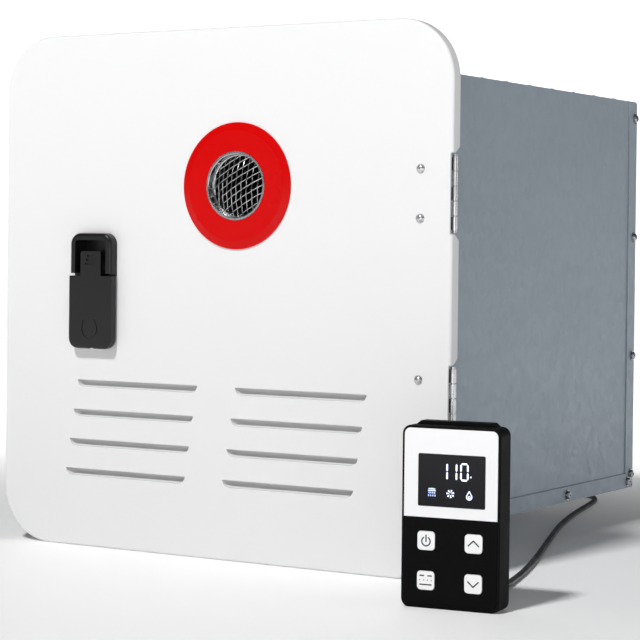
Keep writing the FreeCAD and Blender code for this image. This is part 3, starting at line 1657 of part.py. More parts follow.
def control_shell():
    """The front half: a rim round the panel, with a row of vent slots along its foot."""
    outside = slab(
        "shell_outside",
        ("0", "control_width"),
        ("0", "control_height"),
        "0.4",
        "control_split",
        "control_corner",
        "0.8",
    )
    inside = slab(
        "shell_inside",
        ("control_wall", "control_width - control_wall"),
        ("control_wall + 2", "control_height - control_wall"),
        "-1",
        "control_split + 1",
        "control_corner - control_wall",
    )
    seat = slab(
        "shell_panel_seat",
        ("panel_rim", "control_width - panel_rim"),
        ("panel_foot", "control_height - panel_rim"),
        "-1",
        "panel_thick",
        "control_corner - panel_rim",
    )
    count = 29
    slots = [
        block(
            "shell_slot_%d" % k,
            centred("(control_width / 2 + %d * control_width / 33)" % (k - count // 2), "1.1"),
            ("-0.5", "1.3"),
            ("0.8", "1.9"),
        )
        for k in range(count)
    ]
    keep_on_control("control_shell", cut("control_shell", outside, [inside, seat] + slots))


def rear_half():
    """The rear half, which is screwed to a wall, with a raised tab along its top."""
    outside = slab(
        "back_outside",
        ("0", "control_width"),
        ("0", "control_height"),
        "control_split",
        CONTROL_BACK,
        "control_corner",
    )
    bevel = "3"
    tab_end = "tab_left + tab_length"
    points = [
        ("tab_left", "control_height - 8"),
        (tab_end, "control_height - 8"),
        (tab_end, "control_height"),
        (tab_end + " - " + bevel, "control_height + tab_rise"),
        ("tab_left + " + bevel, "control_height + tab_rise"),
        ("tab_left", "control_height"),
    ]
    tab = padded("back_tab", points, CONTROL_BACK + " - tab_front", ("0", CONTROL_BACK, "0"), FRONTAL)
    inside = slab(
        "back_inside",
        ("control_wall", "control_width - control_wall"),
        ("control_wall", "control_height - control_wall"),
        "control_split - 1",
        CONTROL_BACK + " - control_wall",
        "control_corner - control_wall",
    )
    holes = []
    for side in (-1, 1):
        up = "control_height / 2 + 4 + %d * plate_hole_pitch / 2" % side
        place = ("control_width / 2", CONTROL_BACK + " + 1", up)
        holes.append(rod("back_hole", place, "plate_hole", "5", FRONTAL))
    holes.append(
        rod(
            "back_cable_hole",
            ("boot_across", CONTROL_BACK + " + 5", "boot_rise"),
            "cord_radius + 1.2 + running",
            "10",
            FRONTAL,
        )
    )
    length = CONTROL_BACK + " - 1 - " + BOARD_BACK
    posts = [
        rod("back_post", (across, CONTROL_BACK + " - 1", up), "2", length, FRONTAL)
        for across in ("8", "control_width - 8")
        for up in ("12", "control_height - 12")
    ]
    tray = cut("back_tray", fuse("back_moulded", [outside, tab]), [inside] + holes)
    keep_on_control("control_back", fuse("control_back", [tray] + posts))


BOARD_BACK = "6.8"


def control_panel():
    sheet = slab(
        "panel_outside",
        ("panel_rim + 0.05", "control_width - panel_rim - 0.05"),
        ("panel_foot + 0.05", "control_height - panel_rim - 0.05"),
        "0",
        "panel_thick",
        "control_corner - panel_rim",
        "0.3",
    )
    holes = [
        slab(
            "panel_hole_" + label,
            centred(across, "(key_width + 2 * key_gap)"),
            centred(up, "(key_height + 2 * key_gap)"),
            "-1",
            "panel_thick + 1",
            "key_corner + key_gap",
        )
        for label, across, up in key_places()
    ]
    window = (
        ("window_left", "window_left + window_width"),
        ("window_foot", "window_foot + window_height"),
    )
    holes.append(slab("panel_window", *window, "-1", "panel_thick + 1", "1"))
    keep_on_control("control_panel", cut("control_panel", sheet, holes))
    glass = (
        ("window_left + running", "window_left + window_width - running"),
        ("window_foot + running", "window_foot + window_height - running"),
    )
    keep_on_control("display_window", slab("display_window", *glass, "0.05", "panel_thick + 2.4", "1"))


def control_keys():
    for label, across, up in key_places():
        top = slab(
            label + "_cap",
            centred(across, "key_width"),
            centred(up, "key_height"),
            "-key_proud",
            "panel_thick + 0.2",
            "key_corner",
            "0.25",
        )
        skirt = slab(
            label + "_skirt",
            centred(across, "(key_width + 2)"),
            centred(up, "(key_height + 2)"),
            "panel_thick + 0.1",
            "panel_thick + 1.1",
            "key_corner",
        )
        stem = rod(label + "_stem", (across, "panel_thick + 2.3", up), "1.5", "1.5", FRONTAL)
        keep_on_control(label, fuse(label, [top, skirt, stem]))


def keypad_board():
    front = "panel_thick + 3.4"
    span = ("5", "control_width - 5")
    board = block("keypad_sheet", span, (front, BOARD_BACK), ("8", "control_height - 6"))
    switches = [
        rod("keypad_switch", (across, front + " + 0.5", up), "2.5", "1", FRONTAL)
        for label, across, up in key_places()
    ]
    display = block(
        "keypad_display",
        ("window_left + 2", "window_left + window_width - 2"),
        ("panel_thick + 2.4", front + " + 0.5"),
        ("window_foot + 2", "window_foot + window_height - 2"),
    )
    keep_on_control("keypad_board", fuse("keypad_board", [board, display] + switches))


# ---------------------------------------------------------------- control cable
def control_point(across, along, up):
    return control_placement().multVec(Vector(across, along, up))


def cable_boot():
    """The tapered relief on the cable's end, held by a flange inside the control's back."""
    flange = "1.6"
    neck = "cord_radius + 1.2"
    end = "control_wall + %s + boot_length" % flange
    points = [
        ("0", "0"),
        ("cord_radius + 3", "0"),
        ("cord_radius + 3", flange),
        (neck, flange),
        (neck, "control_wall + 4"),
        ("cord_radius + 0.5", end),
        ("0", end),
    ]
    place = ("boot_across", CONTROL_BACK + " - control_wall - 0.2 - " + flange, "boot_rise")
    keep_on_control("cable_boot", turned("cable_boot", points, place))


def cable_gland():
    points = [
        ("0", "0"),
        ("cord_radius + 4", "0"),
        ("cord_radius + 4", "4"),
        ("cord_radius + 2", "4"),
        ("cord_radius + 2", "4 + panel_sheet"),
        ("cord_radius + 6", "4 + panel_sheet"),
        ("cord_radius + 6", "9 + panel_sheet"),
        ("cord_radius + 4", "11 + panel_sheet"),
        ("cord_radius + 1.2", "4 + panel_sheet + gland_length"),
        ("0", "4 + panel_sheet + gland_length"),
    ]
    place = ("gland_across", REAR + " - panel_sheet - 4", "-gland_drop")
    keep("cable_gland", turned("cable_gland", points, place))


def cable_wire(points):
    """Arcs as large as their runs allow; prints each radius."""
    radii = []

    def radius_at(k, turn):
        shorter = min((points[k] - points[k - 1]).Length, (points[k + 1] - points[k]).Length)
        radii.append(0.45 * shorter / math.tan(turn / 2))
        return radii[-1]

    wire = route_wire(points, radius_at)
    print("cable bend radii:", " ".join("%.1f" % radius for radius in radii), "length %.1f" % wire.Length)
    return wire


def cable_tube(label, points):
    radius = amount_of("cord_radius")
    wire = cable_wire(points)
    solid = pipe_along(wire, radius)
    ideal = math.pi * radius**2 * wire.Length
    print(label, "volume over section times length: %.5f" % (solid.Volume / ideal))
    keep(label, shaped(label, solid))


def control_cable():
    ground = amount_of(GROUND)
    radius = amount_of("cord_radius")
    lying = ground + radius + 0.1
    boot_end = amount_of(CONTROL_BACK + " - 0.2 + boot_length")
    height = amount_of("boot_rise")
    across = amount_of("boot_across")
    points = [
        control_point(across, boot_end, height),
        control_point(across, boot_end + 14, height),
        Vector(235.1, -32.6, ground + 7.5),
        Vector(231.3, -6.2, lying + 0.5),
        Vector(224.0, 20.5, lying),
        Vector(214.6, 55.3, lying),
        Vector(197.8, 108.2, lying),
        Vector(177.0, 168.1, lying),
        Vector(155.2, 230.0, lying),
        Vector(136.5, 284.0, lying),
        Vector(120.8, 336.0, lying),
        Vector(107.5, 387.0, lying),
        Vector(96.0, 438.0, lying),
        Vector(85.0, 480.7, lying),
        Vector(62.0, 507.2, lying),
        Vector(30.0, 510.2, lying),
        Vector(10.0, 507.6, lying),
    ]
    cable_tube("control_cable", points)


def coil_centre():
    return Vector(amount_of("coil_across"), amount_of(REAR + " + coil_back"), amount_of(GROUND))


COIL_COLUMNS = 3
COIL_LAYERS = 4
COIL_PITCH = "(2 * cord_radius + 0.1)"


def cable_coil():
    """The wound length of the cable, as its outer shape."""
    half = "(%d * %s / 2)" % (COIL_COLUMNS, COIL_PITCH)
    height = "%d * %s" % (COIL_LAYERS, COIL_PITCH)
    points = [
        ("coil_mean - " + half, "0"),
        ("coil_mean + " + half, "0"),
        ("coil_mean + " + half, height),
        ("coil_mean - " + half, height),
    ]
    place = ("coil_across", REAR + " + coil_back", GROUND)
    keep("cable_coil", turned("cable_coil", points, place, UPRIGHT))


def cable_tail():
    centre = coil_centre()
    across = amount_of("gland_across")
    level = -amount_of("gland_drop")
    rear = amount_of(REAR)
    top = centre.z + amount_of("%f * %s" % (COIL_LAYERS - 0.5, COIL_PITCH))
    gland_end = rear + amount_of("gland_length")
    points = [
        Vector(across, centre.y, top),
        Vector(across, centre.y - 27, top),
        Vector(across, gland_end + 27, level),
        Vector(across, gland_end, level),
    ]
    cable_tube("cable_tail", points)


# ---------------------------------------------------------------- the whole heater
side_panel("side_panel_right", 1)
side_panel("side_panel_left", -1)
bottom_panel()
top_panel()
rear_panel()
cabinet_screws()
top_rivets()
front_frame()
door_gasket()
door_panel()
exhaust_ring()
exhaust_collar()
exhaust_mesh()
latch_bezel()
latch_handle()
latch_spindle()
latch_cam()
hinges()
hinge_screws()
burner_box()
burner_bars()
gas_manifold()
gas_valve()
gas_line()
heat_exchanger()
water_pipes()
ignition_electrodes()
support_brackets()
flue_hood()
fan_housing()
fan_motor()
fan_wheel()
flue_duct()
overheat_cutout()
control_box()
control_shell()
control_panel()
control_keys()
rear_half()
keypad_board()
cable_boot()
cable_gland()
control_cable()
cable_coil()
cable_tail()

doc.recompute()
for item in doc.Objects:
    if "Invalid" in item.State or "Error" in item.State:
        raise RuntimeError("%s did not recompute: %s" % (item.Label, item.State))
for node in nodes:
    if node.Shape.isNull() or not node.Shape.isValid():
        raise RuntimeError("%s has no valid shape" % node.Label)
os.makedirs("parts", exist_ok=True)
for node in nodes:
    node.Shape.exportStep("parts/%s.step" % node.Label)
print(len(nodes), "nodes written")
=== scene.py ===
import json
import math

import bpy
from mathutils import Matrix, Vector


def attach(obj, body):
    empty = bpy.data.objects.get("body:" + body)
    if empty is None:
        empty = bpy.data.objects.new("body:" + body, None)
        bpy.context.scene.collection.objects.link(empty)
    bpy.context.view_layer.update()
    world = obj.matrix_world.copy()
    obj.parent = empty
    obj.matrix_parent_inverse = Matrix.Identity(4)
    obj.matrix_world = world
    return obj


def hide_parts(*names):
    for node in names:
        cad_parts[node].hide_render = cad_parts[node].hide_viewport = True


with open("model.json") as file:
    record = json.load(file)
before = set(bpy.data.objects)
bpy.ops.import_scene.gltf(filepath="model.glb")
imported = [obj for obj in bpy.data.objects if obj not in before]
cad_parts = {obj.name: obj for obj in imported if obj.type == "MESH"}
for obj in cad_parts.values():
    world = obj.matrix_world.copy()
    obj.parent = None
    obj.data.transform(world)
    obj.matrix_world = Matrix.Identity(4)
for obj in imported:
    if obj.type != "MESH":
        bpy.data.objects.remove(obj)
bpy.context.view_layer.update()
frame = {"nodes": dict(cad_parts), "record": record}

nodes = frame["nodes"]
scene = bpy.context.scene
print("frame loaded:", len(nodes), "nodes")

# camera: right, down and ahead are its own axes, and its sensor sits a little off the lens's axis
camera = {
    "place": (0.844143, -1.279949, 0.036474),
    "right": (0.846222, 0.532715, 0.011078),
    "down": (0.015714, -0.004170, -0.999868),
    "ahead": (-0.532598, 0.846284, -0.011899),
    "lens": 119.63,
    "sensor": 36.0,
    "shift": (0.08, -0.08),
    "clip": (0.05, 30),
}


def makeCamera(values):
    data = bpy.data.cameras.new("camera")
    data.lens = values["lens"]
    data.sensor_width = values["sensor"]
    data.clip_start, data.clip_end = values["clip"]
    data.shift_x, data.shift_y = values["shift"]
    made = bpy.data.objects.new("camera", data)
    right, down, ahead = (Vector(values[side]) for side in ("right", "down", "ahead"))
    axes = Matrix((right, -down, -ahead)).transposed()
    made.matrix_world = Matrix.LocRotScale(Vector(values["place"]), axes.to_quaternion(), None)
    scene.collection.objects.link(made)
    scene.camera = made


makeCamera(camera)

# control cable: one line from the remote's boot, through the coil, to the cabinet's gland
remote = {"left": 0.2053, "front": -0.1053, "foot": -0.1905, "yaw": math.radians(6.7)}
cable = {
    "diameter": 0.0045,
    "pitch": 0.0046,
    "sides": 6,
    "fineness": 8,
    "boot": (0.036, 0.034, 0.012),
    "fromBoot": 0.014,
    "lying": -0.18815,
    "drop": [(0.2351, -0.0326, -0.183), (0.2313, -0.0062, -0.18765)],
    "floor": [
        (0.2240, 0.0205), (0.2146, 0.0553), (0.1978, 0.1082), (0.1770, 0.1681), (0.1552, 0.2300),
        (0.1365, 0.2840), (0.1208, 0.3360), (0.1075, 0.3870), (0.0960, 0.4380), (0.0850, 0.4807),
        (0.062, 0.5072), (0.030, 0.5102), (0.010, 0.5076),
    ],
    "centre": (0.0, 0.475),
    "mean": 0.026,
    "columns": 3,
    "layers": 4,
    "stepsPerTurn": 16,
    "start": math.radians(90),
    "firstStep": math.radians(390),  # where the first turn moves over to the next column
    "end": math.radians(3780),
    "shift": math.radians(60),  # how much of the circle a step takes
    "lift": 0.0007,
    "tail": [(-0.0306, 0.448, -0.17435), (-0.0306, 0.426, -0.150), (-0.0306, 0.399, -0.150)],
}


def onRemote(across, deep, up):
    c, s = math.cos(remote["yaw"]), math.sin(remote["yaw"])
    return Vector((
        remote["left"] + c * across - s * deep,
        remote["front"] + s * across + c * deep,
        remote["foot"] + up,
    ))


def layRoute(values):
    across, deep, up = values["boot"]
    points = [onRemote(across, deep, up), onRemote(across, deep + values["fromBoot"], up)]
    points += [Vector(point) for point in values["drop"]]
    return points + [Vector((x, y, values["lying"])) for x, y in values["floor"]]


def smooth(share):
    return share * share * (3 - 2 * share)


# Turns lie side by side and layer on layer; between two steps the cable keeps its column.
def windCoil(values):
    turn = 2 * math.pi
    inner = -(values["columns"] - 1) / 2
    stops = [(values["start"], -inner, 0)]
    angle = values["firstStep"]
    side = 1
    for layer in range(values["layers"]):
        column = -inner * side
        for k in range(values["columns"] - 1):
            stops.append((angle, column, layer))
            column -= side
            angle += values["shift"]
            stops.append((angle, column, layer))
            angle += turn - values["shift"]
        angle -= values["shift"]
        if layer < values["layers"] - 1:
            stops.append((angle, column, layer))
            angle += values["shift"]
            stops.append((angle, column, layer + 1))
            angle += turn - 2 * values["shift"]
        side = -side
    stops.append((values["end"], -inner, values["layers"] - 1))
    return stops


def coilPoints(values):
    stops = windCoil(values)
    step = 2 * math.pi / values["stepsPerTurn"]
    swell = 1 / math.cos(step / 2)
    points = []
    count = round((stops[-1][0] - stops[0][0]) / step)
    for k in range(count):
        angle = stops[0][0] + (k + 0.5) * step
        before = max((s for s in stops if s[0] <= angle), key=lambda s: s[0])
        after = min((s for s in stops if s[0] > angle), key=lambda s: s[0])
        share = smooth((angle - before[0]) / (after[0] - before[0]))
        column = before[1] + share * (after[1] - before[1])
        layer = before[2] + share * (after[2] - before[2])
        radius = (values["mean"] + column * values["pitch"]) * swell
        points.append(Vector((
            values["centre"][0] + radius * math.cos(angle),
            values["centre"][1] + radius * math.sin(angle),
            values["lying"] + values["lift"] + layer * values["pitch"],
        )))
    return points


# The points carry the tube's radius, so that the curve's own box is no larger than the tube.
def tube(name, points, values):
    data = bpy.data.curves.new(name, "CURVE")
    data.dimensions = "3D"
    data.bevel_depth = 1.0
    data.bevel_resolution = values["sides"]
    data.resolution_u = values["fineness"]
    data.use_fill_caps = True
    spline = data.splines.new("NURBS")
    spline.points.add(len(points) - 1)
    for k, point in enumerate(points):
        spline.points[k].co = (*point, 1)
        spline.points[k].radius = values["diameter"] / 2
    spline.order_u = 3
    spline.use_endpoint_u = True
    made = bpy.data.objects.new(name, data)
    scene.collection.objects.link(made)
    return made


cablePoints = layRoute(cable) + coilPoints(cable) + [Vector(point) for point in cable["tail"]]
cablePiece = tube("remote_cable", cablePoints, cable)
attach(cablePiece, "cabinet")
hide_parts("control_cable", "cable_coil", "cable_tail")
print("cable laid")


# shader groups shared by several finishes
def newGroup(name, inputs, outputs):
    group = bpy.data.node_groups.new(name, "ShaderNodeTree")
    for label, kind, value in inputs:
        group.interface.new_socket(label, in_out="INPUT", socket_type=kind).default_value = value
    for label, kind in outputs:
        group.interface.new_socket(label, in_out="OUTPUT", socket_type=kind)
    return group, group.nodes.new("NodeGroupInput"), group.nodes.new("NodeGroupOutput")


# links are (its socket, another node, that node's socket)
def addNode(tree, kind, links=(), **settings):
    made = tree.nodes.new(kind)
    for key, value in settings.items():
        setattr(made, key, value)
    for socket, other, output in links:
        if other is None:
            made.inputs[socket].default_value = output
        else:
            tree.links.new(other.outputs[output], made.inputs[socket])
    return made


# factor, first and second are (node, socket) or plain values
def mixColours(tree, factor, first, second):
    made = tree.nodes.new("ShaderNodeMix")
    made.data_type = "RGBA"
    for slot, source in ((0, factor), (6, first), (7, second)):
        if isinstance(source, tuple) and hasattr(source[0], "outputs"):
            tree.links.new(source[0].outputs[source[1]], made.inputs[slot])
        else:
            made.inputs[slot].default_value = source
    return made


# place and scale are (node, socket), or scale is a plain value
def addNoise(tree, place, scale, detail=2):
    made = addNode(tree, "ShaderNodeTexNoise", [("Vector", *place), ("Detail", None, detail)])
    if isinstance(scale, tuple):
        tree.links.new(scale[0].outputs[scale[1]], made.inputs["Scale"])
    else:
        made.inputs["Scale"].default_value = scale
    return made


skinOutputs = [
    ("Color", "NodeSocketColor"), ("Roughness", "NodeSocketFloat"), ("Height", "NodeSocketFloat"),
]

# fine grain over slow changes of tone, for paint, moulded plastic and rubber
moulded = {"grainDetail": 3, "driftDetail": 4, "low": 0.3, "high": 0.7, "darkened": 0.5}


def buildMoulded(values):
    group, given, out = newGroup(
        "mouldedSkin",
        [("Tone", "NodeSocketColor", (0.8, 0.8, 0.8, 1)), ("Drift", "NodeSocketFloat", 0.04),
         ("Grain Scale", "NodeSocketFloat", 900), ("Drift Scale", "NodeSocketFloat", 9),
         ("Rough Low", "NodeSocketFloat", 0.35), ("Rough High", "NodeSocketFloat", 0.45)],
        skinOutputs,
    )
    place = addNode(group, "ShaderNodeTexCoord")
    grain = addNoise(group, (place, "Object"), (given, "Grain Scale"), values["grainDetail"])
    slow = addNoise(group, (place, "Object"), (given, "Drift Scale"), values["driftDetail"])
    span = [("Value", slow, "Fac"), ("From Min", None, values["low"]), ("From Max", None, values["high"])]
    swing = addNode(group, "ShaderNodeMapRange", span)
    share = addNode(group, "ShaderNodeMath",
                    [(0, swing, "Result"), (1, given, "Drift")], operation="MULTIPLY")
    dark = addNode(group, "ShaderNodeHueSaturation",
                   [("Color", given, "Tone"), ("Value", None, values["darkened"])])
    colour = mixColours(group, (share, 0), (given, "Tone"), (dark, "Color"))
    rough = addNode(group, "ShaderNodeMapRange",
                    span + [("To Min", given, "Rough Low"), ("To Max", given, "Rough High")])
    group.links.new(colour.outputs[2], out.inputs["Color"])
    group.links.new(rough.outputs["Result"], out.inputs["Roughness"])
    group.links.new(grain.outputs["Fac"], out.inputs["Height"])
    return group


# lines left by drawing or turning; they run along the axis that Stretch scales least
drawn = {"lineDetail": 5, "low": 0.12, "high": 0.42}


def buildDrawn(values):
    group, given, out = newGroup(
        "drawnMetal",
        [("Tone", "NodeSocketColor", (0.7, 0.7, 0.7, 1)), ("Dull", "NodeSocketColor", (0.5, 0.5, 0.5, 1)),
         ("Stretch", "NodeSocketVector", (400, 400, 20)), ("Blotch Scale", "NodeSocketFloat", 25),
         ("Rough Low", "NodeSocketFloat", 0.25), ("Rough High", "NodeSocketFloat", 0.4)],
        skinOutputs,
    )
    place = addNode(group, "ShaderNodeTexCoord")
    long = addNode(group, "ShaderNodeVectorMath",
                   [(0, place, "Object"), (1, given, "Stretch")], operation="MULTIPLY")
    lines = addNoise(group, (long, 0), 1.0, values["lineDetail"])
    blotch = addNoise(group, (place, "Object"), (given, "Blotch Scale"))
    both = addNode(group, "ShaderNodeMath", [(0, lines, "Fac"), (1, blotch, "Fac")], operation="MULTIPLY")
    share = addNode(group, "ShaderNodeMapRange", [
        ("Value", both, 0), ("From Min", None, values["low"]), ("From Max", None, values["high"]),
    ])
    colour = mixColours(group, (share, "Result"), (given, "Dull"), (given, "Tone"))
    rough = addNode(group, "ShaderNodeMapRange", [
        ("Value", share, "Result"), ("To Min", given, "Rough High"), ("To Max", given, "Rough Low"),
    ])
    group.links.new(colour.outputs[2], out.inputs["Color"])
    group.links.new(rough.outputs["Result"], out.inputs["Roughness"])
    group.links.new(lines.outputs["Fac"], out.inputs["Height"])
    return group


# the faint crystal flakes of hot-dip zinc, with streaks from handling
spangle = {"bendScale": 90, "bendDetail": 2, "nudge": 0.012, "streakDetail": 4, "low": 0.2, "high": 0.8}


def buildSpangle(values):
    group, given, out = newGroup(
        "zincSpangle",
        [("Tone", "NodeSocketColor", (0.3, 0.33, 0.36, 1)),
         ("Pale", "NodeSocketColor", (0.36, 0.39, 0.42, 1)),
         ("Flake Scale", "NodeSocketFloat", 160), ("Flake Share", "NodeSocketFloat", 0.35),
         ("Streak Scale", "NodeSocketVector", (5, 5, 24)),
         ("Rough Low", "NodeSocketFloat", 0.38), ("Rough High", "NodeSocketFloat", 0.55)],
        skinOutputs,
    )
    place = addNode(group, "ShaderNodeTexCoord")
    bend = addNoise(group, (place, "Object"), values["bendScale"], values["bendDetail"])
    nudge = addNode(group, "ShaderNodeVectorMath",
                    [(0, bend, "Color"), (1, None, (values["nudge"],) * 3)], operation="MULTIPLY")
    moved = addNode(group, "ShaderNodeVectorMath", [(0, place, "Object"), (1, nudge, 0)], operation="ADD")
    flakes = addNode(group, "ShaderNodeTexVoronoi",
                     [("Vector", moved, 0), ("Scale", given, "Flake Scale")])
    flake = addNode(group, "ShaderNodeSeparateColor", [("Color", flakes, "Color")])
    long = addNode(group, "ShaderNodeVectorMath",
                   [(0, place, "Object"), (1, given, "Streak Scale")], operation="MULTIPLY")
    streak = addNoise(group, (long, 0), 1.0, values["streakDetail"])
    both = addNode(group, "ShaderNodeMix",
                   [(0, given, "Flake Share"), (2, streak, "Fac"), (3, flake, "Red")])
    share = addNode(group, "ShaderNodeMapRange", [
        ("Value", both, 0), ("From Min", None, values["low"]), ("From Max", None, values["high"]),
    ])
    colour = mixColours(group, (share, "Result"), (given, "Tone"), (given, "Pale"))
    rough = addNode(group, "ShaderNodeMapRange", [
        ("Value", flake, "Green"), ("To Min", given, "Rough Low"), ("To Max", given, "Rough High"),
    ])
    group.links.new(colour.outputs[2], out.inputs["Color"])
    group.links.new(rough.outputs["Result"], out.inputs["Roughness"])
    group.links.new(both.outputs[0], out.inputs["Height"])
    return group


groups = {"moulded": buildMoulded(moulded), "drawn": buildDrawn(drawn), "spangle": buildSpangle(spangle)}
print("shader groups built")


# finishes, one dictionary each; the shader's own sockets hold what is the same all over
def rgb(red, green, blue):
    return (red, green, blue, 1)


def startMaterial(name):
    made = bpy.data.materials.new(name)
    made.use_nodes = True
    shader = made.node_tree.nodes["Principled BSDF"]
    return made, made.node_tree, shader


def makeFinish(name, values):
    made, tree, shader = startMaterial(name)
    skin = tree.nodes.new("ShaderNodeGroup")
    skin.node_tree = groups[values["skin"]]
    for label, value in values["looks"].items():
        skin.inputs[label].default_value = value
    tree.links.new(skin.outputs["Color"], shader.inputs["Base Color"])
    tree.links.new(skin.outputs["Roughness"], shader.inputs["Roughness"])
    bump = tree.nodes.new("ShaderNodeBump")
    bump.inputs["Strength"].default_value = values["bump"]
    bump.inputs["Distance"].default_value = values["relief"]
    tree.links.new(skin.outputs["Height"], bump.inputs["Height"])
    tree.links.new(bump.outputs["Normal"], shader.inputs["Normal"])
    for label, value in values.get("shader", {}).items():
        shader.inputs[label].default_value = value
    return made


